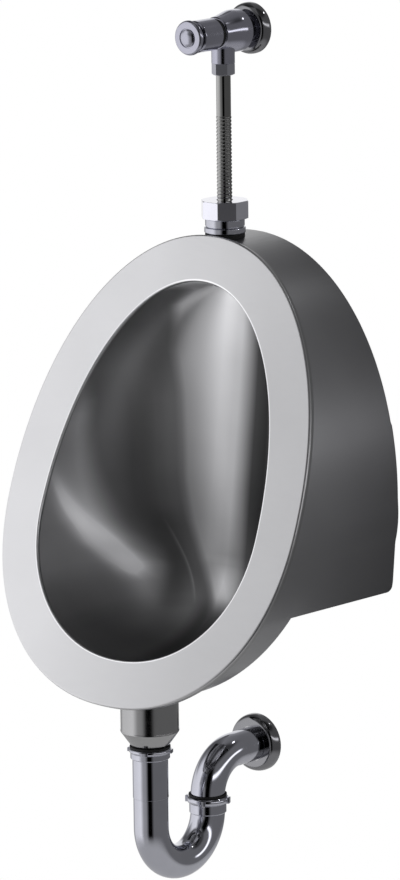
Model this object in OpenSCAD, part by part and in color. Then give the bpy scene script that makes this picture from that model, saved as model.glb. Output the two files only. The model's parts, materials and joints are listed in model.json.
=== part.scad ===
// Wall hung urinal of pressed stainless steel, with push valve, flush tube and trap.
// Millimetres. X runs across, Y = 0 is the wall with the object on its -Y side, Z is up.
// The origin is the middle of the wall bolts.

/* [Rim] */
// Width of the rim over its rolled edge
rim_w = 402; // [380:1:430]
// Length of the rim, measured along its slope
rim_h = 520; // [490:1:550]
// Width of the flat ring
rim_band = 51.6; // [45:0.1:58]
// Lean of the rim from upright, in degrees
rim_tilt = 21.1; // [18:0.1:25]
// Distance of the highest point of the rim from the wall
rim_top_gap = 70.8; // [70:0.1:80]
// Depth of the rolled outer edge
rim_roll = 7; // [4:0.5:9]
// Depth of the turned lip at the opening
rim_lip = 4; // [3:0.5:8]
// Thickness of the steel sheet
sheet_t = 1.5; // [1.2:0.1:2]
// Drop of the wall bolts below the highest point of the rim
hang_drop = 85.14; // [80:0.02:100]

/* [Bowl] */
// Distance of the bowl's back from the wall
bowl_back_gap = 28; // [26:1:34]
// Rise of the bowl's roof over the top of the opening
bowl_roof_rise = 7; // [6:0.5:9]
// Radius between roof and back
bowl_roof_r = 15; // [10:1:18]
// Radius between back and pan
bowl_foot_r = 92; // [70:1:110]
// Radius between pan and front
bowl_front_r = 16; // [10:1:20]
// Height of the pan's floor over the lowest point of the rim
bowl_floor_h = 21; // [18:0.5:24]
// Height over the floor at which the pan would meet the back
bowl_floor_rise = 22; // [10:1:30]

/* [Side skirt] */
// Overhang of the rim past the skirt
skirt_inset = 5; // [4:0.5:8]
// Height of the skirt's level foot over the lowest point of the rim
skirt_foot_h = 105; // [90:1:120]
// Depth of the band under the lip, along Y
skirt_band = 54; // [40:1:60]
// Growth of the skirt's half width at the wall for each millimetre down
skirt_flare_share = 0.08; // [0:0.01:0.12]
// Width of the flange that lies on the wall
skirt_flange = 14; // [10:1:18]
// Gap round the outlet in the band
band_notch_gap = 6; // [4:0.5:9]

/* [Wall hanging] */
// Distance between the two upper wall bolts, as a share of the rim's width
bolt_span_share = 0.398; // [0.3:0.002:0.42]
// Radius of the upper bolt holes
bolt_r = 3.5; // [3:0.1:4]
// Height of the bracket's plate
bracket_h = 40; // [34:1:46]
// Thickness of the bracket's steel
bracket_t = 2; // [1.5:0.1:2.5]
// Depth of the bracket's hook
hook_depth = 8; // [7:0.5:10]
// Height of the bracket's hook
hook_h = 22; // [16:1:26]
// Width of a lower fixing tab
tab_w = 30; // [20:1:36]
// Height of a lower fixing tab
tab_h = 34; // [28:1:40]
// Radius of the lower fixing holes
tab_hole_r = 2.75; // [2.2:0.05:3.2]

/* [Drain] */
// Distance of the drain's axis behind the lowest point of the rim
drain_back = 73.5; // [70:0.5:78]
// Radius of the outlet cup
cup_r = 31.75; // [29:0.25:33]
// Height of the cup's rim over the pan's floor
cup_proud = 2; // [1:0.5:3]
// Depth of the cup's straight part below the lowest point of the rim
cup_drop = 42; // [38:1:50]
// Height of the cup's cone
cup_cone_h = 16; // [12:1:20]
// Radius at the cone's foot
cup_neck_r = 20.4; // [20:0.1:22]
// Height of the threaded spigot under the cone
spigot_h = 10; // [9:0.5:12]
// Radius of the waterway through the spigot
spigot_bore_r = 16.5; // [14:0.5:17]
// Radius of a strainer hole
strainer_hole_r = 2.6; // [2:0.1:3]
// Height of the strainer's dome
strainer_dome_h = 5; // [3:0.5:7]

/* [Trap] */
// Diameter of the trap's tube
trap_d = 38.1; // [36:0.1:40]
// Wall of the trap's tube
trap_wall = 1.3; // [1:0.1:1.6]
// Radius of the J bend's centre line
bend_r = 48; // [44:0.5:54]
// Radius of the wall arm's centre line
arm_r = 44; // [38:0.5:46]
// Diameter of the inlet sleeve
sleeve_d = 39; // [38.6:0.1:41]
// Length of the J bend's straight leg under the sleeve
bend_leg = 34; // [26:1:40]
// Length of the J bend's straight riser
bend_riser = 5; // [3:0.5:8]
// Depth of the waste outlet's axis below the lowest point of the rim
outlet_drop = 93; // [88:1:98]
// Radius of the slip nuts
slip_r = 23.3; // [22.8:0.1:25]
// Height of the inlet slip nut
slip_in_h = 12; // [10:0.5:14]
// Height of the outlet slip nut
slip_out_h = 19; // [17:0.5:22]
// Thickness of the black slip washers
slip_washer_t = 2.2; // [1.5:0.1:3]
// Radius of the trap's wall flange
trap_flange_r = 32.3; // [30:0.1:36]
// Depth of the trap's wall flange
trap_flange_depth = 13; // [10:0.5:15]
// Length of the arm that enters the wall
arm_stub = 14; // [10:0.5:15]

/* [Flush line] */
// Distance of the flush tube's axis behind the highest point of the rim
pipe_back = 22.8; // [22:0.1:24]
// Diameter of the flush tube
pipe_d = 15.9; // [14.5:0.1:16.5]
// Wall of the flush tube
pipe_wall = 0.8; // [0.6:0.1:1.2]
// Number of ribs in the ribbed stretch
rib_count = 23; // [16:1:30]
// Distance from rib to rib
rib_pitch = 3.9; // [3:0.1:3.9]
// Height of a rib over the tube
rib_rise = 0.6; // [0.3:0.1:0.8]
// Radius of the big coupling nut across its corners
coupling_r = 26.6; // [25:0.1:28]
// Height of the big coupling nut
coupling_h = 19.5; // [18:0.5:22]
// Radius of the spud's collar
spud_r = 22.6; // [21:0.1:24]
// Height of the spud's collar
spud_h = 16; // [14:0.5:18]
// Radius of the spud's thread in the coupling nut
coupling_thread_r = 16.4; // [15.6:0.1:17]
// Radius of the spud's thread under the collar
spud_thread_r = 14; // [13:0.1:15]
// Length of the spud under the collar
spud_tail = 30; // [28:0.5:33]
// Thickness of the spud's gasket
gasket_t = 5; // [5:0.5:7]
// Radius of the spreader's tube
spreader_r = 10; // [8:0.1:11]
// Radius of the spreader's head
spreader_head_r = 13; // [11:0.5:14]
// Height of the spreader's head
spreader_head_h = 6; // [5:0.5:8]
// Drop of the spreader's head below the top of the opening
spreader_drop = 3; // [2:0.5:5]

/* [Flush valve] */
// Height of the valve's axis over the highest point of the rim
valve_rise = 216.86; // [205:0.01:230]
// Radius of the valve's wall flange
valve_flange_r = 28.1; // [26:0.1:30]
// Depth of the valve's wall flange
valve_flange_depth = 12; // [10:0.5:13]
// Radius of the supply thread, G 1/2
supply_r = 10.48; // [10.2:0.01:10.6]
// Length of supply thread that enters the wall
supply_stub = 15; // [12:0.5:16]
// Width of the relief groove at the wall, on the supply nipple and the waste arm
wall_groove_w = 1.5; // [1:0.1:2.5]
// Depth of that groove
wall_groove_d = 0.6; // [0.4:0.05:0.7]
// Radius of the valve's barrel
barrel_r = 23; // [21.5:0.1:24]
// Distance of the barrel's back from the wall
barrel_back = 22; // [20:0.5:23]
// Distance of the barrel's front edge from the wall
barrel_front = 36; // [35:0.5:37]
// Distance of the neck from the wall
neck_start = 44; // [43:0.5:45]
// Distance of the neck's front from the wall
neck_front = 61.5; // [60:0.5:64]
// Radius of the neck at its back
neck_back_r = 19.6; // [19:0.1:20.4]
// Radius of the neck at its front
neck_front_r = 17.9; // [17.5:0.1:18.5]
// Radius of the outlet branch
branch_r = 12.7; // [12.2:0.1:13.4]
// Length of the outlet branch under the valve's axis
branch_l = 33; // [31:0.5:35]
// Height of the outlet nut
outlet_nut_h = 13; // [11:0.5:15]
// Radius of the bonnet
bonnet_r = 17.4; // [16.8:0.1:17.8]
// Length of the bonnet's sleeve
bonnet_l = 31; // [28:0.5:33]
// Length of the black gap between neck and bonnet
bonnet_gap = 4.5; // [3.5:0.1:5.5]
// Radius of the push button
button_r = 18.8; // [18:0.1:20]
// Thickness of the push button's disc
button_t = 5; // [4.5:0.1:6]
// Gap behind the button's disc
button_gap = 5.5; // [5.3:0.1:6.5]
// Radius of the button's raised centre
dome_r = 9.6; // [8.5:0.1:10.5]
// Height of the button's raised centre
dome_h = 3; // [2:0.1:4]
// Radius of the plunger's stem
stem_r = 2.5; // [2:0.1:2.8]
// Radius of the flow screw
flow_screw_r = 2.4; // [2:0.1:2.6]

/* [Fits] */
// Gap between seated pieces
seat_gap = 0.2; // [0.1:0.05:0.3]
// Radial gap of a fixed piece in its hole
slip_gap = 0.25; // [0.15:0.05:0.35]
// Radial gap of a sliding or turning piece
run_gap = 0.06; // [0.03:0.01:0.1]

/* [Hidden] */
$fn = 64;

// Overrun of every cut
cut_over = 1;
// Heights in this frame
rim_top_z = hang_drop;
rim_z = rim_top_z - rim_h * cos(rim_tilt);
rim_reach = rim_top_gap + rim_h * sin(rim_tilt);
bolt_span = bolt_span_share * rim_w;
drain_y = rim_reach - drain_back;
pipe_y = rim_top_gap - pipe_back;
valve_z = rim_top_z + valve_rise;
outlet_z = rim_z - outlet_drop;

// Shares and powers that shape the rim and the opening
rim_wide_share = 0.427;
rim_low_power = 2.18;
rim_top_power = 2.07;
well_wide_share = 0.366;
well_low_power = 2.08;
well_top_power = 2.05;
well_cross_power = 2.15;
well_pan_power = 3;
// Angle below the level at which the bowl's cross section has the pan's power
pan_angle = 50;
well_w = rim_w - 2 * rim_band;
well_h = rim_h - 2 * rim_band;

// Steps round the outlines
rim_steps = 72;
bowl_rows = 32;
bowl_columns = 20;
skirt_columns = 48;
band_columns = 22;

// Half of an egg: the point at angle a round an egg of width w and height h, foot at the origin
function egg_point(w, h, share, low_power, top_power, a) =
    let (low = sin(a) < 0)
    let (half_h = (low ? share : 1 - share) * h)
    let (power = low ? low_power : top_power)
    [sign(cos(a)) * w / 2 * pow(abs(cos(a)), 2 / power),
     share * h + sign(sin(a)) * half_h * pow(abs(sin(a)), 2 / power)];

// Outline of the rim, drawn in by d, in the plane of the rim
function rim_point(a, d) =
    egg_point(rim_w - 2 * d, rim_h - 2 * d, rim_wide_share, rim_low_power, rim_top_power, a) + [0, d];

// Outline of the opening, drawn in by d, in the plane of the rim
function well_point(a, d) =
    egg_point(well_w - 2 * d, well_h - 2 * d, well_wide_share, well_low_power, well_top_power, a)
    + [0, rim_band + d];

function rim_outline(d) = [for (i = [0:rim_steps - 1]) rim_point(360 * i / rim_steps, d)];
function well_outline(d) = [for (i = [0:rim_steps - 1]) well_point(360 * i / rim_steps, d)];

// A point of the rim's plane, set back by w, in this frame
function on_plane(p, w) =
    [p[0], -rim_reach + p[1] * sin(rim_tilt) + w * cos(rim_tilt),
     rim_z + p[1] * cos(rim_tilt) - w * sin(rim_tilt)];

// Places its children on the rim's plane, with their +Z towards the user
module on_rim() {
    translate([0, -rim_reach, rim_z])
        rotate([90 - rim_tilt, 0, 0])
            children();
}

// Places its children on an axis square to the wall, with their +Z away from the wall
module off_wall(z) {
    translate([0, 0, z])
        rotate([90, 0, 0])
            children();
}

// A ring of rectangular section
module ring(r_out, r_in, h) {
    rotate_extrude()
        translate([r_in, 0])
            square([r_out - r_in, h]);
}

// A stretch of tube bent round the origin, in the XY plane
module bent_tube(r_bend, r_out, r_in, angle) {
    rotate_extrude(angle = angle)
        translate([r_bend, 0])
            difference() {
                circle(r = r_out);
                circle(r = r_in);
            }
}

// Points of an arc about c
function arc(c, r, a0, a1, n) = [for (i = [0:n])
    let (a = a0 + (a1 - a0) * i / n)
    c + r * [cos(a), sin(a)]];

function unit(v) = v / norm(v);

// Points of the arc that rounds corner q between p and s
function corner(p, q, s, r, n) =
    let (u = unit(p - q), v = unit(s - q))
    let (half = acos(u * v) / 2)
    let (c = q + unit(u + v) * r / sin(half))
    let (t1 = q + u * r / tan(half) - c, t2 = q + v * r / tan(half) - c)
    let (a1 = atan2(t1[1], t1[0]), a2 = atan2(t2[1], t2[0]))
    let (turn = ((a2 - a1 + 540) % 360) - 180)
    arc(c, r, a1, a1 + turn, n);

// Length of a line of points up to point i, and the point at a share of the whole
function run_length(p, i) = i == 0 ? 0 : run_length(p, i - 1) + norm(p[i] - p[i - 1]);
function along(p, share) =
    let (all = [for (i = [0:len(p) - 1]) run_length(p, i)])
    let (want = min(max(share, 0), 1) * all[len(p) - 1])
    let (k = max([for (i = [0:len(p) - 2]) all[i] <= want ? i : 0]))
    p[k] + (p[k + 1] - p[k]) * (want - all[k]) / (all[k + 1] - all[k]);

// Bowl
bowl_w = rim_lip + seat_gap;
// Middle line of the bowl, as [Y, Z], for a layer grown outwards by d
function bowl_roof_at(d) = on_plane(well_point(90, -d), bowl_w);
function bowl_lip_at(d) = on_plane(well_point(-90, -d), bowl_w);
function bowl_corners(d) =
    let (top = bowl_roof_at(d), foot = bowl_lip_at(d))
    let (floor_z = rim_z + bowl_floor_h - d)
    [[top[1], top[2]],
     [-bowl_back_gap + d, top[2] + bowl_roof_rise],
     [-bowl_back_gap + d, floor_z + bowl_floor_rise],
     [-drain_y + cup_r, floor_z],
     [foot[1], floor_z],
     [foot[1], foot[2]]];
function bowl_upper_line(d) =
    let (c = bowl_corners(d))
    concat([c[0]], corner(c[0], c[1], c[2], bowl_roof_r + d, 6));
function bowl_lower_line(d) =
    let (c = bowl_corners(d))
    concat(corner(c[1], c[2], c[3], bowl_foot_r + d, 12), [c[3]],
        corner(c[3], c[4], c[5], bowl_front_r + d, 6), [c[5]]);

// Height along the rim's slope at which the plane w behind the rim has height z
function slope_at(z, w) = (z - rim_z + w * sin(rim_tilt)) / cos(rim_tilt);
// Angle round an egg of height h at height v over its foot
function egg_angle(v, h, share, low_power, top_power) =
    let (rel = v / h - share)
    rel < 0 ? -asin(pow(-rel / share, low_power / 2)) : asin(pow(rel / (1 - share), top_power / 2));
function well_angle(z, d) =
    egg_angle(slope_at(z, bowl_w) - rim_band + d, well_h + 2 * d, well_wide_share, well_low_power,
        well_top_power);
// The point of the bowl's middle line that belongs to angle a
function bowl_middle(a, d) =
    let (upper = bowl_upper_line(d), lower = bowl_lower_line(d))
    let (back_top = upper[len(upper) - 1], back_foot = lower[0])
    let (a_top = well_angle(back_top[1], d), a_foot = well_angle(back_foot[1], d))
    a > a_top ? along(upper, (90 - a) / (90 - a_top))
        : a < a_foot ? along(lower, (a_foot - a) / (a_foot + 90))
        : [back_top[0], on_plane(well_point(a, -d), bowl_w)[2]];

function cross_power(a) =
    let (t = min(max(-a / pan_angle, 0), 1))
    well_cross_power + (well_pan_power - well_cross_power) * t * t * (3 - 2 * t);

function bowl_angle(i) = 90 - 180 * i / bowl_rows;
function bowl_point(i, j, d) =
    let (a = bowl_angle(i), t = 180 * j / bowl_columns)
    let (edge = on_plane(well_point(a, -d), bowl_w))
    let (middle = bowl_middle(a, d))
    let (x = sign(cos(t)) * pow(abs(cos(t)), 2 / cross_power(a)))
    let (s = pow(sin(t), 2 / cross_power(a)))
    [edge[0] * x, edge[1] + s * (middle[0] - edge[1]), edge[2] + s * (middle[1] - edge[2])];

// The bowl's two layers, each with one point at the top, one at the lip and rows between
bowl_row_points = bowl_columns + 1;
bowl_layer_points = (bowl_rows - 1) * bowl_row_points + 2;
function bowl_layer(d) = concat([bowl_roof_at(d)],
    [for (i = [1:bowl_rows - 1]) for (j = [0:bowl_columns]) bowl_point(i, j, d)],
    [bowl_lip_at(d)]);
function bowl_index(k, i, j) = k * bowl_layer_points
    + (i == 0 ? 0 : i == bowl_rows ? bowl_layer_points - 1 : 1 + (i - 1) * bowl_row_points + j);
function bowl_skin(k) = [for (i = [0:bowl_rows - 1]) for (j = [0:bowl_columns - 1])
    let (p = bowl_index(k, i, j), q = bowl_index(k, i, j + 1))
    let (r = bowl_index(k, i + 1, j + 1), s = bowl_index(k, i + 1, j))
    let (f = i == 0 ? [p, r, s] : i == bowl_rows - 1 ? [p, q, s] : [p, q, r, s])
    k == 0 ? f : [for (m = [len(f) - 1:-1:0]) f[m]]];
function bowl_edge(j, flip) = [for (i = [0:bowl_rows - 1])
    let (f = [bowl_index(0, i, j), bowl_index(0, i + 1, j), bowl_index(1, i + 1, j), bowl_index(1, i, j)])
    flip ? [f[3], f[2], f[1], f[0]] : f];

// Skirt
skirt_w = sheet_t + seat_gap;
skirt_wide_z = rim_z + rim_wide_share * rim_h * cos(rim_tilt);
// Angle round the skirt's front edge at height z
function rim_angle(z) =
    egg_angle(slope_at(z, skirt_w) - skirt_inset, rim_h - 2 * skirt_inset, rim_wide_share, rim_low_power,
        rim_top_power);
// Angle below the level at which the foot starts
skirt_foot_a = -rim_angle(rim_z + skirt_foot_h);
skirt_total = skirt_columns + band_columns;
function skirt_angle(i) = i <= skirt_columns
    ? -skirt_foot_a + (180 + 2 * skirt_foot_a) * i / skirt_columns
    : 180 + skirt_foot_a + (180 - 2 * skirt_foot_a) * (i - skirt_columns) / band_columns;
// Outward lean of the side at angle a, as growth of X from the rim to the wall
skirt_foot_edge = on_plane(rim_point(-skirt_foot_a, skirt_inset), skirt_w);
skirt_wide_half = rim_w / 2 - skirt_inset;
skirt_foot_half = skirt_wide_half - (skirt_wide_z - skirt_foot_edge[2]) * skirt_flare_share;
skirt_foot_grow = skirt_foot_half - skirt_foot_edge[0];
function skirt_grow(p) = p[2] > skirt_wide_z ? 0
    : p[2] > skirt_foot_edge[2] - seat_gap
        ? sign(p[0]) * (skirt_wide_half - (skirt_wide_z - p[2]) * skirt_flare_share - abs(p[0]))
        : p[0] / skirt_foot_edge[0] * skirt_foot_grow;
// Half width of the skirt at the wall at height z
function skirt_half(z) =
    let (p = on_plane(rim_point(rim_angle(z), skirt_inset), skirt_w))
    p[0] + skirt_grow(p);
// Front edge, foot of the band, wall edge and inner edge of the flange, for a layer drawn in by d
function skirt_station(i, j, d) =
    let (a = skirt_angle(i))
    let (p = on_plane(rim_point(a, skirt_inset), skirt_w))
    let (q = on_plane(rim_point(a, skirt_inset + d), skirt_w))
    let (grow = skirt_grow(p))
    let (band = skirt_band / -p[1])
    let (in = on_plane(rim_point(a, skirt_inset + skirt_flange), skirt_w))
    j == 0 ? q
        : j == 1 ? [q[0] + grow * band, p[1] + skirt_band, q[2]]
        : j == 2 ? [q[0] + grow, -d, q[2]]
        : [in[0] + grow, -d, in[2]];
skirt_stations = 4;
function skirt_index(k, i, j) = (k * skirt_total + i % skirt_total) * skirt_stations + j;
function skirt_has(i, j) = j == 0 || (j < skirt_stations - 1 && i >= 0 && i < skirt_columns);
skirt_points = [for (k = [0:1]) for (i = [0:skirt_total - 1]) for (j = [0:skirt_stations - 1])
    skirt_station(i, j, k * sheet_t)];
function skirt_wall(i0, j0, i1, j1) =
    [skirt_index(0, i0, j0), skirt_index(1, i0, j0), skirt_index(1, i1, j1), skirt_index(0, i1, j1)];
skirt_faces = [for (i = [0:skirt_total - 1]) for (j = [0:skirt_stations - 2]) if (skirt_has(i, j))
    let (a = skirt_index(0, i, j), b = skirt_index(0, i, j + 1))
    let (c = skirt_index(0, i + 1, j + 1), d = skirt_index(0, i + 1, j))
    let (in = skirt_total * skirt_stations)
    each concat(
        [[a, b, c, d], [a + in, d + in, c + in, b + in]],
        j == 0 ? [skirt_wall(i + 1, j, i, j)] : [],
        skirt_has(i, j + 1) ? [] : [skirt_wall(i, j + 1, i + 1, j + 1)],
        j > 0 && i == 0 ? [skirt_wall(i, j, i, j + 1)] : [],
        j > 0 && i == skirt_columns - 1 ? [skirt_wall(i + 1, j + 1, i + 1, j)] : [])];
// Underside of the skirt's top at the middle, and its outside
skirt_top_z = on_plane(rim_point(90, skirt_inset), skirt_w)[2];

// Flush line heights
spud_z = skirt_top_z + seat_gap + gasket_t;
coupling_z = spud_z + spud_h;
coupling_bore_r = coupling_thread_r + slip_gap;
coupling_top_t = 3;
coupling_collar_h = spud_h / 2;
spud_bore_r = pipe_d / 2 + 2 * slip_gap;
spud_hole_r = spud_thread_r + slip_gap;
spud_groove = 1;
spud_socket = 8;
locknut_r = 20;
locknut_h = 8;
// Fall of the skirt's top over the locknut
locknut_sag = 1.7;
spreader_top_z = spud_z - spud_tail + spud_socket - seat_gap;
spreader_floor = 1.5;
spreader_slots = 8;
spreader_slot_w = 2;
spreader_edge = 1;
spreader_head_z = bowl_roof_at(0)[2] - spreader_drop - spreader_head_h;
outlet_nut_z = valve_z - branch_l - outlet_nut_h;
stub_l = branch_l + outlet_nut_h - 4 * sheet_t;
stub_r = branch_r - 2 * sheet_t;
olive_foot = 2 * sheet_t;
olive_h = valve_z - stub_l - outlet_nut_z - olive_foot - seat_gap;
tube_socket = 3;
pipe_top_z = valve_z - branch_l + tube_socket - seat_gap;
pipe_foot_z = spud_z + coupling_collar_h / 2;
rib_foot_z = coupling_z + coupling_h + rib_pitch / 2;
// Shares of the pitch between which a rib has its full height
rib_shares = [0.35, 0.65];

// Stations of the valve, measured from the wall
socket_l = 13;
nipple_end_gap = 2;
hub_r = 15;
hub_edge = 1.4;
seat_s = 33;
seat_t = 3;
seat_r = 5.5;
chamber_front = 50;
inlet_r = 10;
outlet_bore_r = 6.3;
chamber_r = 11;
thread_front_r = 14.2;
bonnet_wall = 2;
bonnet_floor_t = 4;
bonnet_tail = 1.5;
bonnet_back = neck_front + bonnet_gap;
bonnet_front = bonnet_back + bonnet_l;
bonnet_floor = bonnet_back + bonnet_floor_t;
button_back = bonnet_front + button_gap;
button_front = button_back + button_t;
boss_gap = 0.5;
boss_r = bonnet_r - bonnet_wall - boss_gap;
boss_wall = 2.5;
boss_web = 3;
spring_room = 18;
boss_back = bonnet_floor + spring_room;
dashpot_t = 4;
spring_wire_r = 0.6;
spring_coil_r = 9;
spring_turns = 5;
o_ring_t = 2.5;
o_ring_r = 5;
poppet_r = 8;
poppet_t = 3;
poppet_seal_t = 2.5;
dome_groove = 1;
// Place of the flow screw: distance from the wall, and angle up from +X
flow_screw_s = 28;
flow_screw_a = 45;
flow_screw_l = 12.5;
flow_screw_sunk = 0.7;
flow_slot_w = 0.8;
flow_slot_d = 1.3;

// Drain heights
floor_z = rim_z + bowl_floor_h;
cup_top_z = floor_z + cup_proud;
cup_foot_z = rim_z - cup_drop;
neck_z = cup_foot_z - cup_cone_h;
spigot_z = neck_z - spigot_h;
cup_in_r = cup_r - sheet_t;
ledge_drop = 5;
ledge_z = floor_z - ledge_drop;
ledge_w = 4;
strainer_r = cup_in_r - slip_gap;

// Trap heights
trap_r = trap_d / 2;
trap_in_r = trap_r - trap_wall;
sleeve_r = sleeve_d / 2;
nut_in_top_z = neck_z - slip_washer_t - seat_gap;
nut_in_foot_z = nut_in_top_z - slip_in_h;
sleeve_flange_t = 1.3;
sleeve_top_z = spigot_z - seat_gap;
spigot_r = cup_neck_r - slip_gap;
riser_y = drain_y - 2 * bend_r;
arm_foot_z = outlet_z - arm_r;
arm_leg = 8;
joint_z = arm_foot_z - arm_leg;
bend_z = joint_z - bend_riser;
sleeve_foot_z = bend_z + bend_leg;
// Radial gap of nut and washer round a tube that has begun to bend
bent_gap = 0.4;
slip_out_rise = 2;
nut_out_top_z = arm_foot_z + slip_out_rise;
nut_out_foot_z = nut_out_top_z - slip_out_h;
slip_in_bead = 2.6;
slip_out_bead = 4;
lug_w = 7;
lug_rise = 1.8;
lug_a = 25;

module rim_frame() {
    color([0.88, 0.88, 0.89])
        on_rim() {
            translate([0, 0, -sheet_t])
                linear_extrude(sheet_t)
                    difference() {
                        polygon(rim_outline(0));
                        polygon(well_outline(0));
                    }
            translate([0, 0, -rim_roll])
                linear_extrude(rim_roll - sheet_t)
                    difference() {
                        polygon(rim_outline(0));
                        polygon(rim_outline(sheet_t));
                    }
            translate([0, 0, -rim_lip])
                linear_extrude(rim_lip - sheet_t)
                    difference() {
                        polygon(well_outline(-sheet_t));
                        polygon(well_outline(0));
                    }
        }
}

module bowl() {
    color([0.42, 0.42, 0.43])
        difference() {
            polyhedron(concat(bowl_layer(0), bowl_layer(sheet_t)),
                concat(bowl_skin(0), bowl_skin(1), bowl_edge(0, true), bowl_edge(bowl_columns, false)));
            // Hole for the drain cup
            translate([0, -drain_y, cup_foot_z])
                cylinder(r = cup_r + slip_gap, h = cup_top_z - cup_foot_z + cup_r);
            // Hole for the spreader
            translate([0, -pipe_y, spreader_head_z])
                cylinder(r = spreader_r + slip_gap, h = spud_z - spreader_head_z);
        }
}

module side_skirt() {
    color([0.33, 0.33, 0.34])
        difference() {
            polyhedron(skirt_points, skirt_faces);
            // Hole for the spud
            translate([0, -pipe_y, skirt_top_z - spud_tail / 2])
                cylinder(r = spud_hole_r, h = spud_tail);
            // Relief in the band for the drain cup
            translate([0, -drain_y, rim_z - cup_drop])
                cylinder(r = cup_r + band_notch_gap, h = cup_drop + bowl_floor_h);
            // Holes for the lower fixing screws
            for (side = [-1, 1])
                translate([side * tab_hole_x, cut_over, tab_z])
                    rotate([90, 0, 0])
                        cylinder(r = tab_hole_r, h = skirt_flange);
        }
}

// Hanger rail: a lip behind the bracket's hook, a top, a web and two feet on the skirt's flange
rail_t = bracket_t;
rail_gap = 0.4;
rail_foot_h = 20;
rail_foot_w = 12;
hook_foot_z = bracket_h / 2 - bracket_t;
hook_top_z = hook_foot_z + hook_h;
rail_top_z = hook_top_z + rail_gap;
rail_web_y = -hook_depth - bracket_t - rail_gap - rail_t;
rail_lip_y = -(hook_depth + rail_t) / 2;
rail_lip_drop = hook_top_z - hook_foot_z - bracket_t - rail_gap;
rail_low_z = rail_top_z - rail_t - bracket_h;
rail_foot_y = -sheet_t - seat_gap - rail_t;
// Half lengths inside the skirt
rail_half = skirt_half(rail_top_z + rail_t) - skirt_flange / 2;
rail_foot_x = skirt_half(rail_low_z + rail_foot_h) - skirt_flange;

module hanger_rail() {
    color([0.6, 0.6, 0.61]) {
        translate([-rail_half, rail_lip_y, rail_top_z - rail_lip_drop])
            cube([2 * rail_half, rail_t, rail_lip_drop]);
        translate([-rail_half, rail_web_y, rail_top_z])
            cube([2 * rail_half, rail_lip_y + rail_t - rail_web_y, rail_t]);
        translate([-rail_half, rail_web_y, rail_low_z])
            cube([2 * rail_half, rail_t, rail_top_z - rail_low_z]);
        translate([-rail_foot_x, rail_web_y, rail_low_z])
            cube([2 * rail_foot_x, rail_t, rail_foot_h]);
        for (side = [-1, 1]) {
            translate([side * rail_foot_x - (side > 0 ? rail_t : 0), rail_web_y, rail_low_z])
                cube([rail_t, rail_foot_y + rail_t - rail_web_y, rail_foot_h]);
            translate([side > 0 ? rail_foot_x - rail_t : rail_t - rail_foot_x - rail_foot_w, rail_foot_y,
                rail_low_z])
                cube([rail_foot_w, rail_t, rail_foot_h]);
        }
    }
}

bracket_half = rail_half;

module wall_bracket() {
    color([0.62, 0.62, 0.63])
        difference() {
            union() {
                translate([-bracket_half, -bracket_t, -bracket_h / 2])
                    cube([2 * bracket_half, bracket_t, bracket_h]);
                translate([-bracket_half, -hook_depth, hook_foot_z])
                    cube([2 * bracket_half, hook_depth, bracket_t]);
                translate([-bracket_half, -hook_depth - bracket_t, hook_foot_z])
                    cube([2 * bracket_half, bracket_t, hook_h]);
            }
            for (side = [-1, 1])
                translate([side * bolt_span / 2, cut_over, 0])
                    rotate([90, 0, 0])
                        cylinder(r = bolt_r, h = bracket_t + 2 * cut_over);
        }
}

// Lower fixing tabs behind the skirt's flange, with their holes through the flange's middle
tab_z = rim_z + skirt_foot_h + tab_h;
tab_hole_x = skirt_half(tab_z) - skirt_flange / 2;
tab_edge_x = skirt_half(tab_z - tab_h / 2) - 2 * sheet_t;

module fixing_tabs() {
    color([0.6, 0.6, 0.61])
        for (side = [-1, 1])
            difference() {
                translate([side > 0 ? tab_edge_x - tab_w : -tab_edge_x, rail_foot_y, tab_z - tab_h / 2])
                    cube([tab_w, rail_t, tab_h]);
                translate([side * tab_hole_x, 0, tab_z])
                    rotate([90, 0, 0])
                        cylinder(r = tab_hole_r, h = skirt_flange);
            }
}

module drain_cup() {
    color([0.5, 0.5, 0.5])
        translate([0, -drain_y, 0])
            rotate_extrude()
                polygon([[cup_r, cup_top_z], [cup_r, cup_foot_z], [cup_neck_r, neck_z], [spigot_r, neck_z],
                    [spigot_r, spigot_z], [spigot_bore_r, spigot_z], [spigot_bore_r, neck_z],
                    [cup_in_r, cup_foot_z + sheet_t], [cup_in_r, ledge_z - ledge_w],
                    [cup_in_r - ledge_w, ledge_z - sheet_t], [cup_in_r - ledge_w, ledge_z],
                    [cup_in_r, ledge_z], [cup_in_r, cup_top_z]]);
}

// Rings of holes in the strainer: radius as a share of the plate's, and number of holes
strainer_ring_shares = [0.34, 0.6, 0.84];
strainer_counts = [6, 12, 16];
strainer_screw_r = 2.5;

module drain_strainer() {
    dome_r = strainer_r * strainer_r / (2 * strainer_dome_h) + strainer_dome_h / 2;
    color([0.75, 0.75, 0.76])
        translate([0, -drain_y, ledge_z + seat_gap])
            difference() {
                rotate_extrude()
                    polygon(concat(
                        [for (i = [0:12]) let (r = strainer_r * i / 12)
                            [r, sqrt(dome_r * dome_r - r * r) - dome_r + strainer_dome_h + sheet_t]],
                        [[strainer_r, 0], [strainer_r - sheet_t, 0]],
                        [for (i = [12:-1:0]) let (r = (strainer_r - sheet_t) * i / 12)
                            [r, sqrt(dome_r * dome_r - r * r) - dome_r + strainer_dome_h]]));
                for (k = [0:len(strainer_counts) - 1])
                    for (i = [0:strainer_counts[k] - 1])
                        rotate([0, 0, 360 * i / strainer_counts[k]])
                            translate([strainer_r * strainer_ring_shares[k], 0, -cut_over])
                                cylinder(r = strainer_hole_r, h = strainer_dome_h + sheet_t + 2 * cut_over);
                translate([0, 0, -cut_over])
                    cylinder(r = strainer_screw_r + slip_gap, h = strainer_dome_h + sheet_t + 2 * cut_over);
            }
}

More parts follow.
